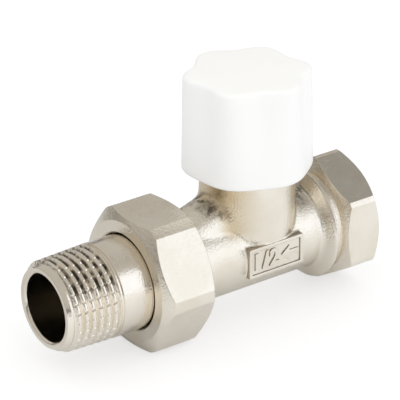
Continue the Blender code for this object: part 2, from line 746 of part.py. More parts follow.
def spindle():
    outline = [(0.0, SPINDLE_TOP), (SPINDLE_STEM_RADIUS, SPINDLE_TOP)]
    clip_floor = SPINDLE_STEM_RADIUS - CLIP_GROOVE_DEPTH
    clip_top = CLIP_HEIGHT + CLIP_GROOVE_WIDTH / 2
    clip_bottom = CLIP_HEIGHT - CLIP_GROOVE_WIDTH / 2
    outline.append((SPINDLE_STEM_RADIUS, clip_top))
    outline.append((clip_floor, clip_top))
    outline.append((clip_floor, clip_bottom))
    outline.append((SPINDLE_STEM_RADIUS, clip_bottom))
    collar_top = SPINDLE_COLLAR + COLLAR_THICKNESS
    outline.append((SPINDLE_STEM_RADIUS, collar_top))
    outline.append((SPINDLE_COLLAR_RADIUS, collar_top))
    outline.append((SPINDLE_COLLAR_RADIUS, SPINDLE_COLLAR))
    outline.append((SPINDLE_SEAL_RADIUS, SPINDLE_COLLAR))
    groove_radius = SPINDLE_SEAL_RADIUS - SEAL_GROOVE_DEPTH
    for floor in reversed(seal_grooves()):
        top = floor + SEAL_GROOVE_WIDTH
        outline.append((SPINDLE_SEAL_RADIUS, top))
        outline.append((groove_radius, top))
        outline.append((groove_radius, floor))
        outline.append((SPINDLE_SEAL_RADIUS, floor))
    outline.append((SPINDLE_SEAL_RADIUS, GUIDE_TOP + RUNNING_GAP))
    outline.append((SPINDLE_THREAD_RADIUS, GUIDE_TOP + RUNNING_GAP))
    outline.append((SPINDLE_THREAD_RADIUS, SPINDLE_TIP))
    outline.append((0.0, SPINDLE_TIP))
    stem = turned("spindle", outline, 2 * SPLINE_TEETH, closed=False, material=BRASS)
    sleeve = rod("spline_blank", SPINDLE_STEM_RADIUS + CUT_OVERRUN, SPLINE_BOTTOM, SPINDLE_TOP + CUT_OVERRUN)
    star_top = SPINDLE_TOP + 2 * CUT_OVERRUN
    star = splined_rod("spline_form", SPINDLE_STEM_RADIUS, SPLINE_BOTTOM - MM, star_top)
    return settled(cut(stem, cut(sleeve, star)))


def spindle_seals():
    seals = []
    wire = (SEAL_GROOVE_DEPTH + RUNNING_GAP) / 2 - SEAL_GAP
    centre = SPINDLE_SEAL_RADIUS + RUNNING_GAP - SEAL_GAP - wire
    for name, floor in zip(("spindle_seal_lower", "spindle_seal_upper"), seal_grooves()):
        seals.append(bead(name, centre, wire, floor + SEAL_GROOVE_WIDTH / 2, RUBBER))
    return seals


def thrust_washers():
    inner = SPINDLE_SEAL_RADIUS + RUNNING_GAP
    outer = COLLAR_POCKET_RADIUS - RUNNING_GAP
    upper_inner = SPINDLE_STEM_RADIUS + RUNNING_GAP
    lower = washer("thrust_washer_lower", inner, outer, LOWER_WASHER, WASHER_THICKNESS, PTFE)
    upper = washer("thrust_washer_upper", upper_inner, outer, UPPER_WASHER, WASHER_THICKNESS, PTFE)
    return [lower, upper]


def bonnet_seal():
    inner = BONNET_THREAD_RADIUS + RUNNING_GAP
    outer = BONNET_THREAD_RADIUS + BONNET_SEAL_WIDTH
    bottom = NECK_TOP + FACE_GAP
    return washer("bonnet_seal", inner, outer, bottom, BONNET_SEAL_THICKNESS, RUBBER)


# Plug, soft disc, washer and screw

def plug():
    corner = PLUG_GUIDE_FLATS
    screw_hole = SCREW_RADIUS + RUNNING_GAP
    thread_bore = SPINDLE_THREAD_RADIUS + RUNNING_GAP
    screw_pocket = SCREW_TOP + FACE_GAP
    outline = [
        (0.0, PLUG_BORE_BOTTOM),
        (thread_bore, PLUG_BORE_BOTTOM),
        (thread_bore, PLUG_TOP),
        (corner, PLUG_TOP),
        (corner, PLUG_FLANGE_TOP),
        (PLUG_FLANGE_RADIUS, PLUG_FLANGE_TOP),
        (PLUG_FLANGE_RADIUS, PLUG_BOTTOM),
        (screw_hole, PLUG_BOTTOM),
        (screw_hole, screw_pocket),
        (0.0, screw_pocket),
    ]
    holder = turned("plug", outline, MEDIUM, closed=False, material=BRASS)
    trim = turned(
        "plug_trim",
        [
            (corner + MM, PLUG_TOP + MM),
            (corner + MM, PLUG_FLANGE_TOP),
            (corner / 2 - MM, PLUG_FLANGE_TOP),
            (corner / 2 - MM, PLUG_TOP + MM),
        ],
        MEDIUM,
        collection=TOOLS,
    )
    hexagon = prism("plug_guide", PLUG_GUIDE_FLATS, PLUG_FLANGE_TOP - MM, PLUG_TOP + CUT_OVERRUN)
    return settled(cut(holder, cut(trim, hexagon)))


def seat_disc():
    inner = SCREW_RADIUS + RUNNING_GAP
    return washer("seat_disc", inner, DISC_RADIUS, DISC_BOTTOM, DISC_THICKNESS, RUBBER)


def disc_washer():
    inner = SCREW_RADIUS + RUNNING_GAP
    return washer(
        "disc_washer", inner, DISC_WASHER_RADIUS, DISC_WASHER_BOTTOM, DISC_WASHER_THICKNESS, BRASS, COARSE
    )


def disc_screw():
    bottom = SCREW_HEAD_TOP - SCREW_HEAD_HEIGHT
    outline = [
        (0.0, SCREW_TOP),
        (SCREW_RADIUS, SCREW_TOP),
        (SCREW_RADIUS, SCREW_HEAD_TOP),
        (SCREW_HEAD_RADIUS, SCREW_HEAD_TOP),
        (SCREW_HEAD_RADIUS, bottom),
        (0.0, bottom),
    ]
    screw = turned("disc_screw", outline, COARSE, closed=False, material=BRASS)
    slot = block(
        "screw_slot",
        (4 * SCREW_HEAD_RADIUS, SCREW_SLOT_WIDTH, 2 * SCREW_SLOT_DEPTH),
        (0.0, 0.0, bottom),
    )
    return settled(cut(screw, slot))


# Knob: lobed at the top, with flutes that run out towards a nearly round skirt

def knob_radius(angle, height):
    share = (height - KNOB_BOTTOM) / (KNOB_TOP - KNOB_BOTTOM)
    crest = KNOB_BOTTOM_RADIUS + (KNOB_TOP_RADIUS - KNOB_BOTTOM_RADIUS) * share
    depth = KNOB_FLUTE_BOTTOM_DEPTH + (KNOB_FLUTE_TOP_DEPTH - KNOB_FLUTE_BOTTOM_DEPTH) * share
    wave = (1 - math.cos(KNOB_LOBES * (angle - KNOB_LOBE_TURN))) / 2
    return crest - depth * wave


def knob_levels():
    levels = [(KNOB_BOTTOM, KNOB_RIM_ROUND), (KNOB_BOTTOM + KNOB_RIM_ROUND, 0.0)]
    straight = 5
    span = KNOB_TOP - KNOB_EDGE_ROUND - KNOB_BOTTOM - KNOB_RIM_ROUND
    for i in range(1, straight + 1):
        levels.append((KNOB_BOTTOM + KNOB_RIM_ROUND + span * i / straight, 0.0))
    rounding = 4
    for i in range(1, rounding + 1):
        angle = math.radians(90 * i / rounding)
        height = KNOB_TOP - KNOB_EDGE_ROUND * (1 - math.sin(angle))
        levels.append((height, KNOB_EDGE_ROUND * (1 - math.cos(angle))))
    return levels


def lofted_knob():
    around = 12 * KNOB_LOBES
    shape = bmesh.new()
    rings = []
    for height, inset in knob_levels():
        ring = []
        for i in range(around):
            angle = math.tau * i / around
            radius = knob_radius(angle, height) - inset
            ring.append(shape.verts.new((radius * math.cos(angle), radius * math.sin(angle), height)))
        rings.append(ring)
    for lower, upper in zip(rings, rings[1:]):
        for i in range(around):
            j = (i + 1) % around
            shape.faces.new((lower[i], lower[j], upper[j], upper[i]))
    shape.faces.new(list(reversed(rings[0])))
    shape.faces.new(rings[-1])
    mesh = bpy.data.meshes.new("knob")
    shape.to_mesh(mesh)
    shape.free()
    return add_mesh("knob", mesh, PARTS, WHITE_PLASTIC)


# The hollow under the roof, around the boss that takes the insert
def knob_cavity():
    pocket_top = INSERT_TOP + FACE_GAP
    pocket = INSERT_RADIUS + RUNNING_GAP
    flange = INSERT_FLANGE_RADIUS + RUNNING_GAP
    flange_top = INSERT_BOTTOM + INSERT_FLANGE + RUNNING_GAP
    outline = [
        (KNOB_CAVITY_TOP_RADIUS, KNOB_CEILING),
        (KNOB_CAVITY_RADIUS, GLAND_TOP),
        (KNOB_CAVITY_RADIUS, KNOB_BOTTOM - CUT_OVERRUN),
        (0.0, KNOB_BOTTOM - CUT_OVERRUN),
        (0.0, pocket_top),
        (pocket, pocket_top),
        (pocket, flange_top),
        (flange, flange_top),
        (flange, BOSS_BOTTOM),
        (KNOB_BOSS_RADIUS, BOSS_BOTTOM),
        (KNOB_BOSS_RADIUS, KNOB_CEILING),
    ]
    hollow = turned("knob_cavity", outline, MEDIUM, collection=TOOLS)
    for i in range(KNOB_RIBS):
        reach = KNOB_CAVITY_RADIUS + MM
        rib = block(
            f"knob_rib_{i + 1}",
            (reach - KNOB_BOSS_RADIUS + MM, KNOB_RIB_THICKNESS, 2 * KNOB_RIB_DROP),
            (0.0, 0.0, 0.0),
        )
        angle = math.tau * i / KNOB_RIBS + KNOB_LOBE_TURN
        middle = (reach + KNOB_BOSS_RADIUS - MM) / 2
        rib.location = (middle * math.cos(angle), middle * math.sin(angle), KNOB_CEILING)
        rib.rotation_euler.z = angle
        cut(hollow, rib)
    return hollow


def knob():
    return settled(cut(lofted_knob(), knob_cavity()))


def knob_insert():
    outline = [
        (INSERT_RADIUS, INSERT_TOP),
        (INSERT_RADIUS, INSERT_BOTTOM + INSERT_FLANGE),
        (INSERT_FLANGE_RADIUS, INSERT_BOTTOM + INSERT_FLANGE),
        (INSERT_FLANGE_RADIUS, INSERT_BOTTOM),
        (0.0, INSERT_BOTTOM),
    ]
    outline.insert(0, (0.0, INSERT_TOP))
    bush = turned("knob_insert", outline, MEDIUM, closed=False, material=BRASS)
    crest = SPINDLE_STEM_RADIUS + SPLINE_GAP
    return settled(cut(bush, splined_rod("insert_spline_cut", crest, INSERT_BOTTOM - MM, INSERT_TOP + MM)))


def knob_clip():
    tooth_tip = SPINDLE_STEM_RADIUS + SPLINE_GAP - SPLINE_DEPTH
    centre = tooth_tip - SEAL_GAP - CLIP_WIRE
    return bead("knob_clip", centre, CLIP_WIRE, CLIP_HEIGHT, SPRING_STEEL, CLIP_OPENING)


# Each group is parented to an empty on the axis that it moves on.

def stand(name, members, location=(0.0, 0.0, 0.0)):
    empty = bpy.data.objects.new(name, None)
    empty.location = location
    PARTS.objects.link(empty)
    bpy.context.view_layer.update()
    for member in members:
        member.parent = empty
        member.matrix_parent_inverse = Matrix.Translation(Vector(location)).inverted()
    return empty


def main():
    fixed = [valve_body(), bonnet(), bonnet_seal(), gland_nut(), spindle_wiper(), *thrust_washers()]
    stand("fixed_group", fixed)
    stand("tail_group", [tailpiece(), tail_gasket()], (TAIL_START, 0.0, 0.0))
    stand("nut_group", [union_nut()], (NUT_START, 0.0, 0.0))
    stand("spindle_group", [spindle(), *spindle_seals(), knob(), knob_insert(), knob_clip()])
    stand("plug_group", [plug(), seat_disc(), disc_washer(), disc_screw()])


main()
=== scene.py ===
import math
from functools import reduce

import bmesh
import bpy
from mathutils import Matrix, Vector


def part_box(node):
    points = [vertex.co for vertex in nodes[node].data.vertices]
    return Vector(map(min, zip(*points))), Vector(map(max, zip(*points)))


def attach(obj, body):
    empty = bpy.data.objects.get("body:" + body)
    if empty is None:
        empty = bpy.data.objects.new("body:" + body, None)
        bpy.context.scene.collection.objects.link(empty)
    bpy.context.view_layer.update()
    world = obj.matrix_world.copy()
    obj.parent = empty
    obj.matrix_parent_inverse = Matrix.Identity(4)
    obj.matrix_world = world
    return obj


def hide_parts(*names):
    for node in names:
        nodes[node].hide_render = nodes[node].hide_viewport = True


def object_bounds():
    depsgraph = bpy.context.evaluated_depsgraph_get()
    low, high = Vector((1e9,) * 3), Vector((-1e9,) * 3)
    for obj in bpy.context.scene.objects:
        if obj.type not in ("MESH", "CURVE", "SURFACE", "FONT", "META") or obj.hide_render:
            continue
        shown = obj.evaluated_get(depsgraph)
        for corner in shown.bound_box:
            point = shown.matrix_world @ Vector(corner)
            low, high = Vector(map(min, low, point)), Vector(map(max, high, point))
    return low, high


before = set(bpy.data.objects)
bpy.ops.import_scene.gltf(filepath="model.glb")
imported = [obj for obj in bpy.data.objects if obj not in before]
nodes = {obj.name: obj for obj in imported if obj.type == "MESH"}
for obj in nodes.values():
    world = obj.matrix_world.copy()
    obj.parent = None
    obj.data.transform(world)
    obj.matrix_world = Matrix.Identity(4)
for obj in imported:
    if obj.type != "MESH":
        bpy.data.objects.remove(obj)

# Straight radiator valve with a union tail and a hand knob.
# The pipe run lies along X with the socket at +X, and the stem stands along Z.
# Lengths in the dictionaries are millimetres and angles are degrees.

mm = 0.001
closeBy = 0.002 * mm  # points nearer than this are one
cadLow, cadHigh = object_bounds()


def nodeBox(name):
    low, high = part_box(name)
    return low / mm, high / mm


class Wire:
    # A socket that takes part in sums: an expression on wires adds its Math nodes
    def __init__(self, graph, socket):
        self.graph = graph
        self.socket = socket

    def __add__(self, other):
        return self.graph.math("ADD", self, other)

    def __radd__(self, other):
        return self.graph.math("ADD", other, self)

    def __sub__(self, other):
        return self.graph.math("SUBTRACT", self, other)

    def __rsub__(self, other):
        return self.graph.math("SUBTRACT", other, self)

    def __mul__(self, other):
        return self.graph.math("MULTIPLY", self, other)

    def __rmul__(self, other):
        return self.graph.math("MULTIPLY", other, self)

    def __truediv__(self, other):
        return self.graph.math("DIVIDE", self, other)

    def __rtruediv__(self, other):
        return self.graph.math("DIVIDE", other, self)

    def __neg__(self):
        return self.graph.math("MULTIPLY", self, -1.0)

    def __abs__(self):
        return self.graph.math("ABSOLUTE", self)


class Graph:
    # A node tree and the ways of adding to it
    def __init__(self, tree):
        self.tree = tree

    def feed(self, slot, value):
        if isinstance(value, Wire):
            self.tree.links.new(value.socket, slot)
        else:
            slot.default_value = value

    def node(self, kind, settings=None, values=None, out=0):
        made = self.tree.nodes.new(kind)
        for key, value in (settings or {}).items():
            setattr(made, key, value)
        for key, value in (values or {}).items():
            self.feed(made.inputs[key], value)
        return Wire(self, made.outputs[out]) if len(made.outputs) else made

    def math(self, operation, *values):
        return self.node("ShaderNodeMath", {"operation": operation}, dict(enumerate(values)))

    def split(self, vector):
        first = self.node("ShaderNodeSeparateXYZ", None, {0: vector})
        return [first] + [Wire(self, first.socket.node.outputs[i]) for i in (1, 2)]

    def least(self, *values):
        return reduce(lambda found, value: self.math("MINIMUM", found, value), values)

    def most(self, *values):
        return reduce(lambda found, value: self.math("MAXIMUM", found, value), values)

    def softLeast(self, first, second, rounding):
        return self.math("SMOOTH_MIN", first, second, rounding)

    def softMost(self, first, second, rounding):
        return self.math("SMOOTH_MAX", first, second, rounding)

    def length(self, first, second):
        return self.math("SQRT", first * first + second * second)

    def between(self, value, low, high):
        return self.most(self.least(value, high), low)

    # From 0 to 1 over the given width, beginning at the start
    def rising(self, value, start, width):
        return self.between((value - start) / width, 0.0, 1.0)

    # From 1 to 0 over the given width, ending at the end
    def falling(self, value, end, width):
        return self.between((end - value) / width, 0.0, 1.0)

    # From 0 at the start to 1 at the end, with a soft beginning and end
    def smoothly(self, value, start, end):
        settings = {"interpolation_type": "SMOOTHSTEP"}
        return self.node("ShaderNodeMapRange", settings, {0: value, 1: start, 2: end})


# Geometry Nodes trees: named inputs for the sizes, and a plain mesh at the end

def sizedTree(name, sizes):
    tree = bpy.data.node_groups.new(name, "GeometryNodeTree")
    tree.interface.new_socket("Geometry", in_out="INPUT", socket_type="NodeSocketGeometry")
    for key, value in sizes.items():
        kind = "NodeSocketInt" if isinstance(value, int) else "NodeSocketFloat"
        tree.interface.new_socket(key, in_out="INPUT", socket_type=kind).default_value = value
    tree.interface.new_socket("Geometry", in_out="OUTPUT", socket_type="NodeSocketGeometry")
    graph = Graph(tree)
    source = tree.nodes.new("NodeGroupInput")
    return graph, {key: Wire(graph, source.outputs[key]) for key in sizes}


def closeTree(graph, geometry, material):
    real = graph.node("GeometryNodeRealizeInstances", None, {"Geometry": geometry})
    painted = graph.node("GeometryNodeSetMaterial", None, {"Geometry": real, "Material": material})
    graph.node("NodeGroupOutput", None, {0: painted})


def newPiece(name, mesh=None):
    piece = bpy.data.objects.new(name, mesh or bpy.data.meshes.new(name))
    bpy.context.scene.collection.objects.link(piece)
    return piece


def baked(piece):
    bpy.context.view_layer.update()
    graph = bpy.context.evaluated_depsgraph_get()
    mesh = bpy.data.meshes.new_from_object(piece.evaluated_get(graph))
    piece.modifiers.clear()
    piece.data = mesh
    mesh.name = piece.name
    return piece


def grown(name, graph, sizes):
    piece = newPiece(name)
    modifier = piece.modifiers.new("Shape", "NODES")
    modifier.node_group = graph.tree
    for item in graph.tree.interface.items_tree:
        if item.in_out == "INPUT" and item.name in sizes:
            modifier[item.identifier] = sizes[item.name]
    return baked(piece)


# Finishes: the sizes of their patterns are millimetres, and a noise scale counts them in a metre

def newMaterial(name):
    material = bpy.data.materials.new(name)
    material.use_nodes = True
    graph = Graph(material.node_tree)
    shader = material.node_tree.nodes["Principled BSDF"]
    place = graph.node("ShaderNodeTexCoord", None, None, "Object")
    return material, graph, shader, place


def noise(graph, place, scale, detail=2.0, roughness=0.5):
    values = {"Vector": place, "Scale": scale, "Detail": detail, "Roughness": roughness}
    return graph.node("ShaderNodeTexNoise", None, values, "Fac")


def lines(graph, along, scale, detail=3.0):
    values = {"W": along * scale, "Scale": 1.0, "Detail": detail}
    return graph.node("ShaderNodeTexNoise", {"noise_dimensions": "1D"}, values, "Fac")


# A colour between two others, each written as three numbers or taken from a wire
def blend(graph, share, first, second):
    first, second = (colour if isinstance(colour, Wire) else (*colour, 1.0) for colour in (first, second))
    return graph.node("ShaderNodeMix", {"data_type": "RGBA"}, {0: share, 6: first, 7: second}, 2)


def relief(graph, shader, height, depth):
    values = {"Height": height, "Distance": depth * mm, "Strength": 1.0}
    graph.feed(shader.inputs["Normal"], graph.node("ShaderNodeBump", None, values))


# How far tone and gloss follow the soft patches and the fine pattern of a surface
mottling = {
    "blasted": {"middle": 0.35, "patch tone": 2.6, "tone": 0.9, "patch gloss": 0.1, "gloss": 0.16},
    "turned": {"middle": 0.3, "patch tone": 1.8, "tone": 1.2, "patch gloss": 0.1, "gloss": 0.12},
    "moulded": {"middle": 0.3, "patch tone": 2.0, "tone": 0.5, "patch gloss": 0.06, "gloss": 0.08},
}
speckRelief = 0.9  # share of a turned surface's relief that is specks, the rest being lines


def mottled(graph, shader, place, look, fine, detail=3.0):
    follow = mottling[look["kind"]]
    patches = noise(graph, place, 1000 / look["patch"], detail)
    tone = (patches - follow["middle"]) * follow["patch tone"] + (fine - 0.5) * follow["tone"]
    colour = blend(graph, graph.between(tone, 0.0, 1.0), look["dark"], look["light"])
    # Painted shade and painted reflection darken the colour last
    for paintedShade in look.get("stains", ()):
        colour = paintedShade(graph, place, patches, colour)
    graph.feed(shader.inputs["Base Color"], colour)
    rough = look["roughness"] + (fine - 0.5) * follow["gloss"] + (patches - 0.5) * follow["patch gloss"]
    graph.feed(shader.inputs["Roughness"], rough)


# Blasted or forged metal: a fine sandy grain, with soft patches of tone
def blastedMetal(name, look):
    material, graph, shader, place = newMaterial(name)
    grain = noise(graph, place, 1000 / look["grain"], 3.0, 0.62)
    mottled(graph, shader, place, look, grain)
    shader.inputs["Metallic"].default_value = 1.0
    relief(graph, shader, grain, look["depth"])
    return material


# Turned metal: fine lines round the axis that it was turned on
def turnedMetal(name, look):
    material, graph, shader, place = newMaterial(name)
    x, y, z = graph.split(place)
    along = x + graph.length(y, z) if look["axis"] == "X" else z + graph.length(x, y)
    marks = lines(graph, along, 1000 / look["grain"])
    speck = noise(graph, place, 1000 / look["speck"], 2.0, 0.6)
    mottled(graph, shader, place, look, marks)
    shader.inputs["Metallic"].default_value = 1.0
    relief(graph, shader, marks * (1 - speckRelief) + speck * speckRelief, look["depth"])
    return material


# Moulded plastic and rubber: a faint cloud of tone over a fine orange peel
def mouldedMaterial(name, look):
    material, graph, shader, place = newMaterial(name)
    grain = noise(graph, place, 1000 / look["grain"], 2.0)
    mottled(graph, shader, place, look, grain, 2.0)
    shader.inputs["Specular IOR Level"].default_value = look["gloss"]
    relief(graph, shader, grain, look["depth"])
    return material


# Painted shade and reflection: places where the metal's colour is darkened to stand for shade and dark
# reflections; a pair is an edge and the width of its fade
stains = {
    "painted neck shade": {
        "colour": (0.66, 0.54, 0.36), "radius": 11.4, "reach": (2.375, 1.9), "low": (4.5, 3.0),
        "left": (0.3, 0.5), "base": 0.15, "patchiness": 1.6,
    },
    "painted neck reflection": {
        "colour": (0.13, 0.11, 0.09), "radius": 12.9, "reach": (2.6, 2.0), "low": (7.5, 1.5),
        "upward": (0.35, 0.25), "size": 1.5, "speck": (0.46, 1 / 9), "strength": 0.85,
    },
    "painted plate shade": {
        "colour": (0.16, 0.12, 0.08), "deep": (-10.86, 0.45), "half length": (6.9, 0.3),
        "half height": (3.2, 0.3), "centre": 0.3, "steep": (0.93, 0.3),
        "base": 0.33, "patchiness": 0.3, "on walls": 0.6,
    },
    "painted groove shade": {
        "colour": (0.10, 0.085, 0.07), "crest": 10.3, "start": -53.3, "taper": 1 / 32,
        "deep": (0.26, 0.36), "bore wall": (8.9, 0.3), "first": (-52.6, 0.5), "last": (-41.4, 0.4),
        "low": (3.4, 2.6), "size": 1.9, "broken": (0.36, 1 / 6),
    },
}


def facing(graph, axis):
    return graph.split(graph.node("ShaderNodeTexCoord", None, None, "Normal"))["XYZ".index(axis)]


# Painted shade: the metal is browner in the corner between the ridge and the stem neck, on the left of the
# neck
def paintedNeckShade(graph, place, patches, colour):
    size = stains["painted neck shade"]
    x, y, z = graph.split(place)
    fromStem = graph.length(x, y)
    near = graph.falling(abs(fromStem / mm - size["radius"]), *size["reach"])
    left = graph.rising(-x / fromStem, *size["left"])
    high = graph.rising(z / mm, *size["low"])
    share = near * left * high * (patches * size["patchiness"] + size["base"])
    return blend(graph, graph.between(share, 0.0, 1.0), colour, size["colour"])


# Painted reflection and shade: dark specks on the faces that look up, close round the stem neck
def paintedNeckReflection(graph, place, patches, colour):
    size = stains["painted neck reflection"]
    x, y, z = graph.split(place)
    near = graph.falling(abs(graph.length(x, y) / mm - size["radius"]), *size["reach"])
    high = graph.rising(z / mm, *size["low"])
    upward = graph.rising(facing(graph, "Z"), *size["upward"])
    speck = graph.rising(noise(graph, place, 1000 / size["size"], 4.0, 0.6), *size["speck"])
    return blend(graph, near * high * upward * speck * size["strength"], colour, size["colour"])


# Painted shade: the field of the marking plate is darker, and most of all the steep walls in it
def paintedPlateShade(graph, place, patches, colour):
    size = stains["painted plate shade"]
    x, y, z = graph.split(place)
    deep = graph.rising(y / mm, *size["deep"])
    inLength = graph.falling(abs(x) / mm, *size["half length"])
    inHeight = graph.falling(abs(z / mm - size["centre"]), *size["half height"])
    walls = graph.falling(abs(facing(graph, "Y")), *size["steep"]) * inLength * inHeight * size["on walls"]
    share = deep * (patches * size["patchiness"] + size["base"]) + walls
    return blend(graph, graph.between(share, 0.0, 1.0), colour, size["colour"])


# Painted shade: the grooves on the upper side of the tail's thread are darkened
def paintedGrooveShade(graph, place, patches, colour):
    size = stains["painted groove shade"]
    x, y, z = graph.split(place)
    x, fromRun = x / mm, graph.length(y, z) / mm
    crest = size["crest"] + (x - size["start"]) * size["taper"]
    share = graph.rising(crest - fromRun, *size["deep"]) * graph.rising(fromRun, *size["bore wall"])
    share = share * graph.rising(x, *size["first"]) * graph.falling(x, *size["last"])
    share = share * graph.rising(z / mm, *size["low"])
    broken = graph.rising(noise(graph, place, 1000 / size["size"], 2.0), *size["broken"])
    return blend(graph, share * broken, colour, size["colour"])


satin = {
    "kind": "blasted", "light": (0.88, 0.82, 0.72), "dark": (0.80, 0.73, 0.61),
    "roughness": 0.16, "grain": 0.50, "patch": 9.0, "depth": 0.11,
}
finishes = {
    "satin nickel": satin,
    # The forged nickel carries painted shade and painted reflection specks round the stem neck
    "forged nickel": {**satin, "stains": [paintedNeckShade, paintedNeckReflection]},
    # The plate nickel carries painted shade in the plate's field
    "plate nickel": {**satin, "stains": [paintedPlateShade]},
    "bright nickel": {
        "kind": "turned", "light": (0.90, 0.84, 0.74), "dark": (0.82, 0.75, 0.64),
        "roughness": 0.10, "grain": 0.16, "patch": 6.0, "speck": 0.5, "depth": 0.07, "axis": "X",
        # painted shade in the upper grooves of the tail's thread
        "stains": [paintedGrooveShade],
    },
    "turned brass": {
        "kind": "turned", "light": (0.80, 0.60, 0.30), "dark": (0.66, 0.46, 0.20),
        "roughness": 0.26, "grain": 0.22, "patch": 5.0, "speck": 0.4, "depth": 0.008, "axis": "Z",
    },
    "spring steel": {
        "kind": "turned", "light": (0.56, 0.56, 0.57), "dark": (0.42, 0.42, 0.43),
        "roughness": 0.28, "grain": 0.2, "patch": 3.0, "speck": 0.3, "depth": 0.004, "axis": "Z",
    },
    "white plastic": {
        "kind": "moulded", "light": (0.885, 0.882, 0.862), "dark": (0.868, 0.864, 0.842),
        "roughness": 0.36, "gloss": 0.30, "grain": 0.45, "patch": 14.0, "depth": 0.0022,
    },
    "black rubber": {
        "kind": "moulded", "light": (0.040, 0.040, 0.041), "dark": (0.022, 0.022, 0.023),
        "roughness": 0.62, "gloss": 0.5, "grain": 0.25, "patch": 4.0, "depth": 0.01,
    },
    "white sealing plastic": {
        "kind": "moulded", "light": (0.82, 0.82, 0.80), "dark": (0.74, 0.74, 0.71),
        "roughness": 0.48, "gloss": 0.5, "grain": 0.3, "patch": 4.0, "depth": 0.004,
    },
}
makers = {"blasted": blastedMetal, "turned": turnedMetal, "moulded": mouldedMaterial}
materials = {name: makers[look["kind"]](name, look) for name, look in finishes.items()}
print("finishes made")


# Mesh helpers

def shadedPiece(piece, sharpAngle=32.0, weighted=True):
    piece.data.shade_smooth()
    piece.data.set_sharp_from_angle(angle=math.radians(sharpAngle))
    if weighted:
        modifier = piece.modifiers.new("Level", "WEIGHTED_NORMAL")
        modifier.keep_sharp = True
        baked(piece)
    return piece


def painted(piece, finish):
    piece.data.materials.clear()
    piece.data.materials.append(materials[finish])
    return piece


def fromShape(name, shape):
    bmesh.ops.remove_doubles(shape, verts=shape.verts, dist=closeBy)
    bmesh.ops.recalc_face_normals(shape, faces=shape.faces)
    mesh = bpy.data.meshes.new(name)
    shape.to_mesh(mesh)
    shape.free()
    return newPiece(name, mesh)


def discard(piece):
    bpy.data.objects.remove(piece, do_unlink=True)


def combined(piece, operation, *tools):
    for tool in tools:
        modifier = piece.modifiers.new(operation.title(), "BOOLEAN")
        modifier.operation = operation
        modifier.solver = "MANIFOLD"
        modifier.object = tool
    baked(piece)
    for tool in tools:
        discard(tool)
    return piece


# Joins the slivers that a cut through a bevelled edge leaves
def cleaned(piece):
    shape = bmesh.new()
    shape.from_mesh(piece.data)
    bmesh.ops.remove_doubles(shape, verts=shape.verts, dist=2 * closeBy)
    bmesh.ops.dissolve_degenerate(shape, dist=closeBy, edges=shape.edges)
    shape.to_mesh(piece.data)
    shape.free()
    return piece


# Rounds each inner corner of an outline of (along, radius) points
def eased(outline, rounding, steps=3):
    longest = 0.45  # share of a side, so that two roundings never meet
    points = [Vector(outline[0])]
    for before, corner, after in zip(outline, outline[1:], outline[2:]):
        corner = Vector(corner)
        toBefore = Vector(before) - corner
        toAfter = Vector(after) - corner
        reach = min(rounding, toBefore.length * longest, toAfter.length * longest)
        start = corner + toBefore.normalized() * reach
        end = corner + toAfter.normalized() * reach
        for i in range(steps + 1):
            share = i / steps
            points.append(start * (1 - share) ** 2 + corner * 2 * share * (1 - share) + end * share ** 2)
    points.append(Vector(outline[-1]))
    return points


# Faces between rings of vertices, of which one with a single vertex is a pole
def joinRings(shape, rings, segments):
    for first, second in zip(rings, rings[1:]):
        for i in range(segments):
            j = (i + 1) % segments
            order = ((first, i), (first, j), (second, j), (second, i))
            corners = list(dict.fromkeys(ring[k % len(ring)] for ring, k in order))
            if len(corners) > 2:
                shape.faces.new(corners)


# Adds a surface of revolution about X; a radius of nought is a pole
def addTurned(shape, outline, segments):
    rings = []
    for along, radius in outline:
        count = 1 if radius < 1e-6 else segments
        ring = []
        for i in range(count):
            angle = math.tau * i / segments
            across, up = radius * math.cos(angle), radius * math.sin(angle)
            ring.append(shape.verts.new((along * mm, across * mm, up * mm)))
        rings.append(ring)
    joinRings(shape, rings, segments)


def turnedPiece(name, outline, segments, closed=False):
    shape = bmesh.new()
    addTurned(shape, list(outline) + ([outline[0]] if closed else []), segments)
    return fromShape(name, shape)


def cornerRadius(flats, trim=0.0):
    return flats / 2 / math.cos(math.pi / 6) - trim


# A hexagonal bar along X, with one corner pointing at -Y lifted by the turn
def hexagonBar(flats, start, end, turn):
    corner = cornerRadius(flats)
    bar = turnedPiece("flats", [(start, 0.0), (start, corner), (end, corner), (end, 0.0)], 6)
    bar.data.transform(Matrix.Rotation(math.radians(-turn), 4, "X"))
    return bar


def bevelled(piece, width, segments=2, angle=24.0):
    modifier = piece.modifiers.new("Ease", "BEVEL")
    modifier.width = width * mm
    modifier.segments = segments
    modifier.limit_method = "ANGLE"
    modifier.angle_limit = math.radians(angle)
    return baked(piece)


# A hexagon along X whose ends are turned to the given radii, with its edges eased
def turnedHexagon(name, size, start, end, startRadius, endRadius):
    corner, chamfer = cornerRadius(size["flats"], size["corner trim"]), size["chamfer"]
    outline = [
        (start, 0.0), (start, startRadius), (start + chamfer, corner),
        (end - chamfer, corner), (end, endRadius), (end, 0.0),
    ]
    piece = turnedPiece(name, outline, size["around"])
    combined(piece, "INTERSECT", hexagonBar(size["flats"], start - 1, end + 1, size["turn"]))
    return bevelled(piece, size["edge"])


# Pipe and union threads: one tree grows every helix, as a sleeve between two plain rings

threadSizes = {
    "start": 0.0, "length": 12.0, "crest": 10.3, "taper": 0.0, "depth": 1.05, "pitch": 1.814,
    "crest flat": 0.2, "root flat": 0.06,
    "start radius": 9.1, "lead": 1.2, "end radius": 10.3, "run out": 0.7,
    "notches": 0, "notch depth": 0.0, "notch width": 0.3,
    "around": 240, "rows each turn": 14,
}


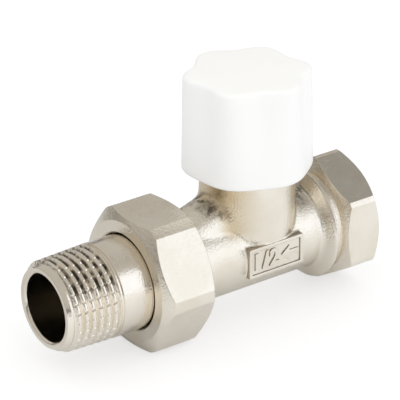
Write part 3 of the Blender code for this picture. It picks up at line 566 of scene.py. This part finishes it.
def threadTree():
    graph, size = sizedTree("helical thread", threadSizes)
    rows = (size["length"] / size["pitch"] + 1.0) * size["rows each turn"] + 1.0
    rows = graph.math("CEIL", rows)
    grid = graph.node("GeometryNodeMeshGrid", None, {
        "Size X": 1.0, "Size Y": 1.0, "Vertices X": size["around"] + 1.0, "Vertices Y": rows + 1.0,
    })
    across, along = graph.split(graph.node("GeometryNodeInputPosition"))[:2]
    turn = across + 0.5
    lead = (along + 0.5) * rows / size["rows each turn"] - 1.0 + turn
    end = size["start"] + size["length"]
    x = graph.between(size["start"] + lead * size["pitch"], size["start"], end)
    phase = graph.math("FRACT", x / size["pitch"] - turn + 64.0)  # whole turns keep it above nought
    slope = 1.0 - size["root flat"] - size["crest flat"]
    flank = graph.rising(abs(phase * 2.0 - 1.0), size["root flat"], slope)
    rise = flank * flank * (3.0 - 2.0 * flank)
    beat = graph.math("FRACT", turn * size["notches"] + 0.5)
    notch = graph.between(1.0 - abs(beat * 2.0 - 1.0) / size["notch width"], 0.0, 1.0)
    crest = size["crest"] + (x - size["start"]) * size["taper"] - notch * size["notch depth"] * rise
    radius = crest - size["depth"] * (1.0 - rise)
    fromStart = graph.rising(x, size["start"], size["lead"])
    toEnd = graph.falling(x, end, size["run out"])
    radius = size["start radius"] + (radius - size["start radius"]) * fromStart
    radius = size["end radius"] + (radius - size["end radius"]) * toEnd
    angle = turn * math.tau
    radius = radius * mm
    place = graph.node("ShaderNodeCombineXYZ", None, {
        0: x * mm, 1: radius * graph.math("COSINE", angle), 2: radius * graph.math("SINE", angle),
    })
    moved = graph.node("GeometryNodeSetPosition", None, {"Geometry": grid, "Position": place})
    merged = graph.node("GeometryNodeMergeByDistance", None, {"Geometry": moved, "Distance": closeBy})
    closeTree(graph, merged, materials["bright nickel"])
    return graph


threadGraph = threadTree()


# The sleeve joined to plain turned outlines at both ends
def threadedPiece(name, thread, outlines):
    sizes = {**threadSizes, **thread}
    sleeve = grown("sleeve", threadGraph, sizes)
    shape = bmesh.new()
    shape.from_mesh(sleeve.data)
    for outline in outlines:
        addTurned(shape, outline, sizes["around"])
    discard(sleeve)
    return fromShape(name, shape)


# Body forging: one distance field, with soft joins where the forging has fillets

bodyLow, bodyHigh = nodeBox("valve_body")

bodySizes = {
    "voxel": 0.29, "margin": 1.0, "overlap": 1.0, "passage back": 5.0, "flare join": 1.0,
    "tube radius": 9.8, "left end": -20.2, "right end": 18.4,
    "neckdown start": -18.9, "neckdown slope": 2.0, "end radius": 12.3,
    "shoulder start": 13.9, "shoulder slope": 2.0, "shoulder radius": 12.9, "shoulder end": 16.1,
    "shoulder foot": 1.05, "shoulder round": 0.7, "groove radius": 11.75,
    "ridge half width": 6.4, "ridge slope": 17.0, "ridge at neck": 13.9,
    "neck radius": 10.72, "neck foot": 3.3, "neck foot round": 2.3, "neck top": 20.0,
    "ridge to neck": 3.0, "upper to tube": 0.9,
    "plinth length": 14.5, "plinth height": 6.9, "plinth face": 10.6, "plinth centre": 0.3,
    "plinth join": 1.1,
    "inlet radius": 7.2, "inlet end": -12.0,
    "upper radius": 4.3, "upper slope": 21.8, "upper reach": 15.5, "upper height": 8.0,
    "chamber radius": 8.2, "chamber floor": 3.2, "bonnet bore": 8.8, "bonnet step": 12.8, "step lap": 0.2,
    "seat height": 4.0, "seat radius": 5.0, "seat outer": 6.0, "pocket floor": -5.2,
    "lower radius": 4.6, "lower height": -2.9, "stop radius": 7.4, "stop floor": 13.3,
    "socket radius": 10.75, "socket floor": 16.0, "bore edge": 0.5,
}


def bodyTree():
    graph, size = sizedTree("body forging", bodySizes)
    least, most, soft, length = graph.least, graph.most, graph.softLeast, graph.length
    x, y, z = graph.split(graph.node("GeometryNodeInputPosition"))
    fromRun, fromStem = length(y, z), length(x, y)

    steep = math.hypot(1.0, bodySizes["shoulder slope"])
    cone = (fromRun - size["tube radius"] - (x - size["shoulder start"]) * size["shoulder slope"]) / steep
    shoulder = graph.softMost(cone, fromRun - size["shoulder radius"], size["shoulder round"])
    shoulder = most(shoulder, x - size["shoulder end"])
    tube = soft(fromRun - size["tube radius"], shoulder, size["shoulder foot"])
    groove = most(fromRun - size["groove radius"], size["shoulder end"] - size["overlap"] - x)
    drop = math.hypot(1.0, bodySizes["neckdown slope"])
    flare = (fromRun - size["tube radius"] + (x - size["neckdown start"]) * size["neckdown slope"]) / drop
    run = least(soft(tube, most(flare, fromRun - size["end radius"]), size["flare join"]), groove)

    slope = math.radians(bodySizes["ridge slope"])
    levelTop = bodySizes["ridge at neck"] + bodySizes["neck radius"] * math.tan(slope)
    crown = levelTop * math.cos(slope) - size["ridge half width"]
    lifted = z * math.cos(slope) - x * math.sin(slope)
    ridge = length(y, most(lifted - crown, 0.0)) - size["ridge half width"]
    ridge = most(ridge, x, -z)
    neck = graph.softMost(fromStem - size["neck radius"], size["neck foot"] - z, size["neck foot round"])
    upper = soft(ridge, neck, size["ridge to neck"])
    solid = soft(run, upper, size["upper to tube"])

    overLength = abs(x) - size["plinth length"] / 2
    overHeight = abs(z - size["plinth centre"]) - size["plinth height"] / 2
    plinth = most(overLength, overHeight, -y - size["plinth face"], y)
    solid = soft(solid, plinth, size["plinth join"])
    solid = most(solid, x - size["right end"], size["left end"] - x, z - size["neck top"])

    inlet = most(fromRun - size["inlet radius"], x - size["inlet end"])
    lean = math.radians(bodySizes["upper slope"])
    fromWall, fromLevel = x + size["chamber radius"], z - size["upper height"]
    along = -(fromWall * math.cos(lean)) - fromLevel * math.sin(lean)
    off = fromWall * math.sin(lean) - fromLevel * math.cos(lean)
    passage = most(length(y, off) - size["upper radius"], along - size["upper reach"])
    passage = most(passage, -along - size["passage back"])
    chamberTop = size["bonnet step"] + size["step lap"]
    chamber = most(fromStem - size["chamber radius"], size["chamber floor"] - z, z - chamberTop)
    chamber = most(chamber, -most(fromStem - size["seat outer"], z - size["seat height"]))
    bore = most(fromStem - size["bonnet bore"], size["bonnet step"] - z)
    seatTop = size["seat height"] + size["overlap"]
    seat = most(fromStem - size["seat radius"], size["pocket floor"] - z, z - seatTop)
    lowerEnd = size["socket floor"] + size["overlap"]
    lower = most(length(y, z - size["lower height"]) - size["lower radius"], -x, x - lowerEnd)
    stop = most(fromRun - size["stop radius"], size["stop floor"] - x)
    socket = most(fromRun - size["socket radius"], size["socket floor"] - x)
    hollow = least(inlet, passage, chamber, bore, seat, lower, stop, socket)
    solid = graph.softMost(solid, -hollow, size["bore edge"])

    around = Vector((1, 1, 1)) * bodySizes["margin"]
    low = Vector((bodySizes["left end"], bodyLow.y, bodyLow.z)) - around
    high = Vector((bodySizes["right end"], bodyHigh.y, bodySizes["neck top"])) + around
    counts = [graph.math("CEIL", (high[i] - low[i]) / size["voxel"]) for i in range(3)]
    density = graph.between(0.5 - solid * 0.5, 0.0, 1.0)
    volume = graph.node("GeometryNodeVolumeCube", None, {
        "Density": density, "Min": low, "Max": high,
        "Resolution X": counts[0], "Resolution Y": counts[1], "Resolution Z": counts[2],
    })
    level = {"Volume": volume, "Threshold": 0.5}
    skin = graph.node("GeometryNodeVolumeToMesh", {"resolution_mode": "GRID"}, level)
    scaled = graph.node("GeometryNodeTransform", None, {"Geometry": skin, "Scale": (mm, mm, mm)})
    smooth = graph.node("GeometryNodeSetShadeSmooth", None, {"Geometry": scaled})
    closeTree(graph, smooth, materials["forged nickel"])
    return graph


bodyForging = grown("body_forging", bodyTree(), bodySizes)
print("body forging:", len(bodyForging.data.polygons), "faces")


# Socket: the hexagon with a turned front and end, and the pipe thread in it

socketSizes = {
    "flats": 26.25, "corner trim": 0.35, "length": 9.5, "turn": 31.5,
    "start radius": 11.95, "end radius": 12.9, "chamfer": 1.4, "edge": 0.22,
    "mouth radius": 10.75, "mouth chamfer": 0.9, "thread crest": 10.35, "thread depth": 1.0,
    "thread root": 9.9, "lead": 0.3, "run out": 0.5, "crest drop": 0.4,
    "floor": 16.2, "floor wall": 11.2, "lap": 0.05, "around": 192,
}


def socketHexagon():
    size = socketSizes
    end = bodyHigh.x
    start = end - size["length"]
    piece = turnedHexagon("body_socket", size, start, end, size["start radius"], size["end radius"])
    root, mouth = size["thread root"], size["mouth radius"]
    sleeveStart, sleeveEnd = start - size["lead"], end - size["mouth chamfer"]
    thread = {
        "start": sleeveStart, "length": sleeveEnd - sleeveStart, "crest": size["thread crest"],
        "depth": size["thread depth"], "start radius": root, "lead": size["lead"],
        "end radius": size["thread crest"] - size["crest drop"], "run out": size["run out"],
        "around": size["around"],
    }
    front = [(sleeveEnd, thread["end radius"]), (end, mouth), (end + 1, mouth + 1), (end + 1, 0.0)]
    back = [(sleeveStart, 0.0), (sleeveStart, root)]
    combined(piece, "DIFFERENCE", threadedPiece("socket_thread", thread, [front, back]))
    floor, lap = size["floor"], start + size["lap"]
    inner = {**thread, "start": floor, "length": lap - floor, "end radius": root}
    wall = [(lap, root), (lap, size["floor wall"]), (floor, size["floor wall"]), (floor, root)]
    sleeve = threadedPiece("body_socket_floor", inner, [wall])
    return [shadedPiece(painted(part, "satin nickel")) for part in (cleaned(piece), sleeve)]


bodySocket, socketFloor = socketHexagon()
print("socket:", len(bodySocket.data.polygons), "faces")


# Union end of the body: the male thread that the nut runs on

unionSizes = {
    "start": -20.05, "bore": 7.2, "bore chamfer": 0.4, "crest": 12.5, "crest drop": 0.1, "depth": 1.05,
    "chamfer": 1.0, "run out": 0.6, "around": 216,
}


def unionEnd():
    size = unionSizes
    end, start, bore, ease = bodyLow.x, size["start"], size["bore"], size["bore chamfer"]
    nose = size["crest"] - size["chamfer"]
    thread = {
        "start": end, "length": start - end, "crest": size["crest"], "depth": size["depth"],
        "start radius": nose, "lead": size["chamfer"], "end radius": size["crest"] - size["crest drop"],
        "run out": size["run out"], "around": size["around"],
    }
    rest = [
        (start, thread["end radius"]), (start, bore), (end + ease, bore), (end, bore + ease), (end, nose),
    ]
    return shadedPiece(painted(threadedPiece("body_union_end", thread, [rest]), "satin nickel"))


bodyUnionEnd = unionEnd()


# Marking plate: a raised frame, with the nominal size and a flow arrow cast in its field

plateSizes = {
    "length": 14.8, "height": 7.2, "face": 10.9, "back": 8.0, "centre": 0.3, "frame": 0.85, "recess": 0.6,
    "edge": 0.2, "letter height": 3.9, "letter scale": 1.38, "letter rise": 1.16, "letter edge": 0.08,
    "letter weight": 0.13, "letter spacing": 1.12, "sink": 0.03, "size place": -2.95, "arrow place": 3.75,
    "arrow length": 4.7, "arrow head": 2.2, "arrow width": 3.7, "arrow shaft": 1.2,
}


def slab(name, width, depth, height, centre):
    shape = bmesh.new()
    bmesh.ops.create_cube(shape, size=mm)
    bmesh.ops.scale(shape, vec=(width, depth, height), verts=shape.verts)
    bmesh.ops.translate(shape, vec=Vector(centre) * mm, verts=shape.verts)
    return fromShape(name, shape)


def sizeMark():
    size = plateSizes
    text = bpy.data.curves.new("size_mark", "FONT")
    text.body = "1/2"
    text.size = size["letter height"] * size["letter scale"] * mm
    text.extrude = (size["letter rise"] / 2 - size["letter edge"]) * mm
    text.bevel_depth = size["letter edge"] * mm
    text.offset = size["letter weight"] * mm
    text.space_character = size["letter spacing"]
    text.align_x, text.align_y = "CENTER", "CENTER"
    text.resolution_u = 6
    guide = bpy.data.objects.new("size_guide", text)
    bpy.context.scene.collection.objects.link(guide)
    bpy.context.view_layer.update()
    graph = bpy.context.evaluated_depsgraph_get()
    mesh = bpy.data.meshes.new_from_object(guide.evaluated_get(graph))
    discard(guide)
    mesh.transform(Matrix.Rotation(math.radians(90), 4, "X"))
    return newPiece("body_size_mark", mesh)


def flowArrow():
    size = plateSizes
    tip, tail = -size["arrow length"] / 2, size["arrow length"] / 2
    neck = tip + size["arrow head"]
    half, shaft = size["arrow width"] / 2, size["arrow shaft"] / 2
    upper = [(neck, half), (neck, shaft), (tail, shaft)]
    points = [(tip, 0), *upper, *((along, -up) for along, up in reversed(upper))]
    shape = bmesh.new()
    face = shape.faces.new([shape.verts.new((along * mm, 0.0, up * mm)) for along, up in points])
    raised = bmesh.ops.extrude_face_region(shape, geom=[face])
    lifted = [item for item in raised["geom"] if isinstance(item, bmesh.types.BMVert)]
    bmesh.ops.translate(shape, vec=(0.0, -size["letter rise"] / 2 * mm, 0.0), verts=lifted)
    return bevelled(fromShape("body_flow_arrow", shape), size["letter edge"], angle=40.0)


def markingPlate():
    size = plateSizes
    depth = size["face"] - size["back"]
    centre = (0.0, -size["face"] + depth / 2, size["centre"])
    plate = slab("body_plate", size["length"], depth, size["height"], centre)
    inside = 2 * size["frame"]
    field = slab(
        "field", size["length"] - inside, 2 * size["recess"], size["height"] - inside,
        (0.0, -size["face"], size["centre"]),
    )
    combined(plate, "DIFFERENCE", field)
    bevelled(plate, size["edge"], 3)
    floor = -(size["face"] - size["recess"])
    marks = []
    for mark, place in ((sizeMark(), size["size place"]), (flowArrow(), size["arrow place"])):
        mark.data.transform(Matrix.Translation(Vector((place, floor + size["sink"], size["centre"])) * mm))
        marks.append(shadedPiece(painted(mark, "plate nickel"), 40.0, False))
    return [shadedPiece(painted(plate, "plate nickel")), *marks]


plateParts = markingPlate()
for piece in (bodyForging, bodySocket, socketFloor, bodyUnionEnd, *plateParts):
    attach(piece, "body")
    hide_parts("valve_body")
print("body pieces dressed")


# Union nut

nutLow, nutHigh = nodeBox("union_nut")
nutSizes = {
    "flats": 30.0, "corner trim": 0.72, "chamfer": 1.6, "chamfer angle": 30.0, "turn": -0.9, "edge": 0.28,
    "lip": 2.3, "hole": 11.0, "hole chamfer": 0.3, "bore": 12.8, "relief": 3.2, "end chamfer": 0.4,
    "thread depth": 1.0, "lead": 0.6, "run out": 0.4, "around": 216,
}


def unionNut():
    size = nutSizes
    start, end, hole, bore = nutLow.x, nutHigh.x, size["hole"], size["bore"]
    drop = size["chamfer"] / math.tan(math.radians(size["chamfer angle"]))
    face = cornerRadius(size["flats"], size["corner trim"]) - drop
    piece = turnedHexagon("union_nut_finish", size, start, end, face, face)
    seat = start + size["lip"]
    threadStart, threadEnd = seat + size["relief"], end - size["end chamfer"]
    thread = {
        "start": threadStart, "length": threadEnd - threadStart, "crest": bore,
        "depth": size["thread depth"], "start radius": bore, "lead": size["lead"],
        "end radius": bore - size["end chamfer"], "run out": size["run out"], "around": size["around"],
    }
    ease = size["hole chamfer"]
    front = [
        (start - 1, 0.0), (start - 1, hole + ease + 1), (start, hole + ease), (start + ease, hole),
        (seat, hole), (seat, bore), (threadStart, bore),
    ]
    back = [(threadEnd, thread["end radius"]), (end, bore), (end + 1, bore + 1), (end + 1, 0.0)]
    combined(piece, "DIFFERENCE", threadedPiece("nut_bore", thread, [front, back]))
    return shadedPiece(painted(cleaned(piece), "satin nickel"))


unionNutFinish = unionNut()
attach(unionNutFinish, "nut")
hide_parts("union_nut")
print("union nut:", len(unionNutFinish.data.polygons), "faces")


# Tailpiece: turned from bar, with a notched taper thread that holds the sealing hemp

tailLow, tailHigh = nodeBox("tailpiece")
tailSizes = {
    "bore": 7.6, "mouth radius": 9.1, "mouth chamfer": 0.5, "thread start": 0.9, "thread length": 12.3,
    "crest": 10.3, "taper": 1 / 32, "depth": 0.85, "lead": 0.9, "lead drop": 0.05, "run out": 0.5,
    "relief": 10.25, "relief length": 0.5, "shank": 10.7, "collar": 11.9, "collar length": 1.8,
    "inner round": 0.18, "notches": 30, "notch depth": 0.22, "notch width": 0.19, "around": 240,
}


def tailPiece():
    size = tailSizes
    start, end = tailLow.x, tailHigh.x
    threadStart = start + size["thread start"]
    threadEnd = threadStart + size["thread length"]
    reliefEnd, collar = threadEnd + size["relief length"], end - size["collar length"]
    lead = size["crest"] - size["depth"] - size["lead drop"]
    thread = {key: size[key] for key in threadSizes if key in size}
    thread.update({
        "start": threadStart, "length": size["thread length"],
        "start radius": lead, "end radius": size["relief"],
    })
    rest = eased([
        (threadEnd, size["relief"]), (reliefEnd, size["relief"]), (reliefEnd, size["shank"]),
        (collar, size["shank"]), (collar, size["collar"]), (end, size["collar"]), (end, size["bore"]),
        (start + size["mouth chamfer"], size["bore"]), (start, size["bore"] + size["mouth chamfer"]),
        (start, size["mouth radius"]), (threadStart, lead),
    ], size["inner round"])
    return shadedPiece(painted(threadedPiece("tailpiece_finish", thread, [rest]), "bright nickel"))


tailFinish = tailPiece()
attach(tailFinish, "tail")
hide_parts("tailpiece")
print("tailpiece:", len(tailFinish.data.polygons), "faces")


# Knob: six lobes at the top that run out towards a nearly round skirt

knobLow, knobHigh = nodeBox("knob")
knobSizes = {
    "lobes": 6, "lobe turn": 36.5, "top radius": 14.4, "bottom radius": 14.7,
    "top flute": 2.05, "bottom flute": 0.7, "top round": 1.0, "rim round": 0.5, "dome": 0.25,
    "cavity radius": 12.1, "cavity top": 9.6, "roof": 1.8, "boss radius": 6.2, "boss bottom": 32.7,
    "insert radius": 4.95, "insert top": 39.5, "flange radius": 5.55, "flange top": 33.95,
    "rib thickness": 1.2, "rib drop": 5.0, "around": 288,
    "rim rows": 4, "wall rows": 24, "top rows": 8, "dome rings": (0.92, 0.8, 0.6, 0.4, 0.2),
    "hollow around": 144,
}


def knobRadius(angle, height):
    size = knobSizes
    share = (height - knobLow.z) / (knobHigh.z - knobLow.z)
    crest = size["bottom radius"] + (size["top radius"] - size["bottom radius"]) * share
    depth = size["bottom flute"] + (size["top flute"] - size["bottom flute"]) * share
    wave = (1 - math.cos(size["lobes"] * (angle - math.radians(size["lobe turn"])))) / 2
    return crest - depth * wave


def knobLevels():
    size = knobSizes
    rim, edge = size["rim round"], size["top round"]
    wallStart, wallTop = knobLow.z + rim, knobHigh.z - size["dome"] - edge
    levels = []
    for i in range(size["rim rows"] + 1):
        angle = math.pi / 2 * i / size["rim rows"]
        levels.append((knobLow.z + rim * (1 - math.cos(angle)), rim * (1 - math.sin(angle))))
    for i in range(1, size["wall rows"] + 1):
        levels.append((wallStart + (wallTop - wallStart) * i / size["wall rows"], 0.0))
    for i in range(1, size["top rows"] + 1):
        angle = math.pi / 2 * i / size["top rows"]
        levels.append((wallTop + edge * math.sin(angle), edge * (1 - math.cos(angle))))
    return levels


def knobShell():
    size = knobSizes
    count = size["around"]
    shape = bmesh.new()
    rings = []
    for height, inset in knobLevels():
        ring = []
        for i in range(count):
            angle = math.tau * i / count
            radius = knobRadius(angle, height) - inset
            place = Vector((radius * math.cos(angle), radius * math.sin(angle), height))
            ring.append(shape.verts.new(place * mm))
        rings.append(ring)
    edge = [vert.co.copy() for vert in rings[-1]]
    for share in size["dome rings"]:
        rise = size["dome"] * (1 - share * share) * mm
        rings.append([shape.verts.new((co.x * share, co.y * share, co.z + rise)) for co in edge])
    rings.append([shape.verts.new((0.0, 0.0, edge[0].z + size["dome"] * mm))])
    joinRings(shape, rings, count)
    shape.faces.new(rings[0])
    return fromShape("knob_finish", shape)


def knobHollow():
    size = knobSizes
    ceiling = knobHigh.z - size["roof"]
    outline = [
        (ceiling, size["cavity top"]), (size["boss bottom"], size["cavity radius"]),
        (knobLow.z - 1, size["cavity radius"]), (knobLow.z - 1, 0.0), (size["insert top"], 0.0),
        (size["insert top"], size["insert radius"]), (size["flange top"], size["insert radius"]),
        (size["flange top"], size["flange radius"]), (size["boss bottom"], size["flange radius"]),
        (size["boss bottom"], size["boss radius"]), (ceiling, size["boss radius"]),
    ]
    hollow = turnedPiece("knob_hollow", outline, size["hollow around"], closed=True)
    hollow.data.transform(Matrix.Rotation(math.radians(-90), 4, "Y"))
    ribs = []
    inner, outer = size["boss radius"] - 1, size["cavity radius"] + 1
    for i in range(size["lobes"]):
        centre = ((inner + outer) / 2, 0.0, ceiling)
        rib = slab(f"rib_{i}", outer - inner, size["rib thickness"], 2 * size["rib drop"], centre)
        turn = math.radians(size["lobe turn"]) + math.tau * i / size["lobes"]
        rib.data.transform(Matrix.Rotation(turn, 4, "Z"))
        ribs.append(rib)
    return combined(hollow, "DIFFERENCE", *ribs)


knobFinish = combined(knobShell(), "DIFFERENCE", knobHollow())
shadedPiece(painted(knobFinish, "white plastic"), 30.0)
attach(knobFinish, "stem")
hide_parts("knob")
print("knob:", len(knobFinish.data.polygons), "faces")


# The pieces that keep their own mesh take a finish each

innerFinishes = {
    "turned brass": ["bonnet", "gland_nut", "spindle", "knob_insert", "plug", "disc_washer", "disc_screw"],
    "black rubber": [
        "bonnet_seal", "spindle_wiper", "spindle_seal_lower", "spindle_seal_upper",
        "seat_disc", "tail_gasket",
    ],
    "white sealing plastic": ["thrust_washer_lower", "thrust_washer_upper"],
    "spring steel": ["knob_clip"],
}

for finish, names in innerFinishes.items():
    for name in names:
        for holder in nodes[name].material_slots:
            holder.material = materials[finish]
print("inner pieces dressed")


# Studio: pale floor, white surround, one large soft light and the photograph's camera

studio = {
    "floor drop": 0.15, "floor size": 3000.0, "floor colour": (0.86, 0.88, 0.91),
    "far floor colour": (0.62, 0.62, 0.62), "far floor start": 15.0, "far floor full": 60.0,
    "far floor way": (-0.6, 0.8), "floor shade": (0.42, 0.42, 0.42), "floor glow": 0.60,
    "fill": 1.07, "key energy": 0.34, "key size": 420.0, "key distance": 520.0,
    "key azimuth": 4.0, "key elevation": 38.0,
    "front azimuth": 32.0, "front elevation": 6.0, "front near": 33.0, "front far": 42.0,
    "front light": (1.17, 1.23, 1.34),
    "surround": (0.56, 0.545, 0.52), "surround start": 13.0,
    "horizon": (0.05, 0.045, 0.04), "horizon end": 4.0,
    "card place": (110.0, -4.0, 136.0), "card size": 104.0, "card colour": (0.33, 0.325, 0.31),
}
camera = {
    "azimuth": 36.204, "elevation": 25.968, "roll": -0.266, "lens": 250.506,
    "place": (-335.94, -441.26, 280.07),
}
white = (1.0, 1.0, 1.0, 1.0)


# A direction from the azimuth seen from -Y towards +X and the height above the horizon
def bearing(azimuth, elevation):
    a, e = math.radians(azimuth), math.radians(elevation)
    return Vector((math.sin(a) * math.cos(e), -math.cos(a) * math.cos(e), math.sin(e)))


def squareSheet(name, width):
    side = width / 2 * mm
    corners = [(-side, -side), (side, -side), (side, side), (-side, side)]
    shape = bmesh.new()
    shape.faces.new([shape.verts.new((x, y, 0.0)) for x, y in corners])
    mesh = bpy.data.meshes.new(name)
    shape.to_mesh(mesh)
    shape.free()
    return newPiece(name, mesh)


def makeFloor():
    floor = squareSheet("floor", studio["floor size"])
    floor.data.transform(Matrix.Translation((0.0, 0.0, cadLow.z - studio["floor drop"] * mm)))
    material, graph, shader, place = newMaterial("pale floor")
    material.node_tree.nodes.remove(shader)
    seen = graph.node("ShaderNodeLightPath", None, None, "Is Camera Ray")
    glossy = Wire(graph, seen.socket.node.outputs["Is Glossy Ray"])
    x, y = graph.split(place)[:2]
    wayX, wayY = studio["far floor way"]
    start, full = (studio[key] * mm for key in ("far floor start", "far floor full"))
    far = graph.smoothly(y * wayY + x * wayX, start, full)
    colour = blend(graph, far * glossy, studio["floor colour"], studio["far floor colour"])
    plain = graph.node("ShaderNodeBsdfDiffuse", None, {"Color": colour})
    shadowed = graph.node("ShaderNodeBsdfDiffuse", None, {"Color": (*studio["floor shade"], 1.0)})
    glow = graph.node("ShaderNodeEmission", None, {"Color": white, "Strength": studio["floor glow"]})
    pale = graph.node("ShaderNodeAddShader", None, {0: shadowed, 1: glow})
    shown = graph.node("ShaderNodeMixShader", None, {0: seen, 1: plain, 2: pale})
    graph.feed(material.node_tree.nodes["Material Output"].inputs["Surface"], shown)
    floor.data.materials.append(material)


# A dark card above the socket, which only the metal sees
def makeCard():
    card = squareSheet("card", studio["card size"])
    card.location = Vector(studio["card place"]) * mm
    card.rotation_euler = card.location.to_track_quat("Z", "Y").to_euler()
    card.visible_camera = card.visible_diffuse = card.visible_shadow = False
    material = bpy.data.materials.new("dark card")
    material.use_nodes = True
    shader = material.node_tree.nodes["Principled BSDF"]
    shader.inputs["Base Color"].default_value = (*studio["card colour"], 1.0)
    card.data.materials.append(material)


def makeWorld():
    world = bpy.data.worlds.new("studio")
    bpy.context.scene.world = world
    world.use_nodes = True
    graph = Graph(world.node_tree)
    direction = graph.node("ShaderNodeTexCoord", None, None, "Generated")
    glossy = graph.node("ShaderNodeLightPath", None, None, "Is Glossy Ray")
    seen = Wire(graph, glossy.socket.node.outputs["Is Camera Ray"])

    low, high = (math.sin(math.radians(studio[key])) for key in ("horizon end", "surround start"))
    raised = graph.smoothly(graph.split(direction)[2], low, high)
    room = blend(graph, raised, studio["horizon"], studio["surround"])

    # How far a direction lies inside the cone of the front light, from 0 to 1
    centre = bearing(studio["front azimuth"], studio["front elevation"])
    product = {"operation": "DOT_PRODUCT"}
    toward = graph.node("ShaderNodeVectorMath", product, {0: direction, 1: centre}, "Value")
    near, far = (math.cos(math.radians(studio[key])) for key in ("front near", "front far"))
    room = blend(graph, graph.smoothly(toward, far, near), room, studio["front light"])

    mirrored = graph.node("ShaderNodeBackground", None, {"Color": room, "Strength": 1.0})
    plain = graph.node("ShaderNodeBackground", None, {"Color": white, "Strength": studio["fill"]})
    behind = graph.node("ShaderNodeBackground", None, {"Color": white, "Strength": 1.0})
    lighting = graph.node("ShaderNodeMixShader", None, {0: glossy, 1: plain, 2: mirrored})
    shown = graph.node("ShaderNodeMixShader", None, {0: seen, 1: lighting, 2: behind})
    graph.feed(world.node_tree.nodes["World Output"].inputs["Surface"], shown)


def makeKey():
    lamp = bpy.data.lights.new("key", "AREA")
    lamp.shape = "SQUARE"
    lamp.size = studio["key size"] * mm
    lamp.energy = studio["key energy"]
    key = bpy.data.objects.new("key", lamp)
    toLamp = bearing(studio["key azimuth"], studio["key elevation"])
    key.location = toLamp * studio["key distance"] * mm
    key.rotation_euler = toLamp.to_track_quat("Z", "Y").to_euler()
    key.visible_glossy = False
    bpy.context.scene.collection.objects.link(key)


def makeCamera():
    azimuth, elevation, roll = (math.radians(camera[key]) for key in ("azimuth", "elevation", "roll"))
    level = math.cos(elevation)
    ahead = Vector((level * math.sin(azimuth), level * math.cos(azimuth), -math.sin(elevation)))
    right = Vector((math.cos(azimuth), -math.sin(azimuth), 0.0))
    up = right.cross(ahead)
    across = right * math.cos(roll) + up * math.sin(roll)
    upright = up * math.cos(roll) - right * math.sin(roll)
    data = bpy.data.cameras.new("camera")
    data.sensor_width = 36.0
    data.lens = camera["lens"]
    data.clip_start, data.clip_end = 0.01, 10.0
    holder = bpy.data.objects.new("camera", data)
    bpy.context.scene.collection.objects.link(holder)
    pose = Matrix((across, upright, -ahead)).transposed().to_4x4()
    pose.translation = Vector(camera["place"]) * mm
    holder.matrix_world = pose
    bpy.context.scene.camera = holder


makeFloor()
makeCard()
makeWorld()
makeKey()
makeCamera()
bpy.context.scene.view_settings.view_transform = "Standard"
print("studio ready")
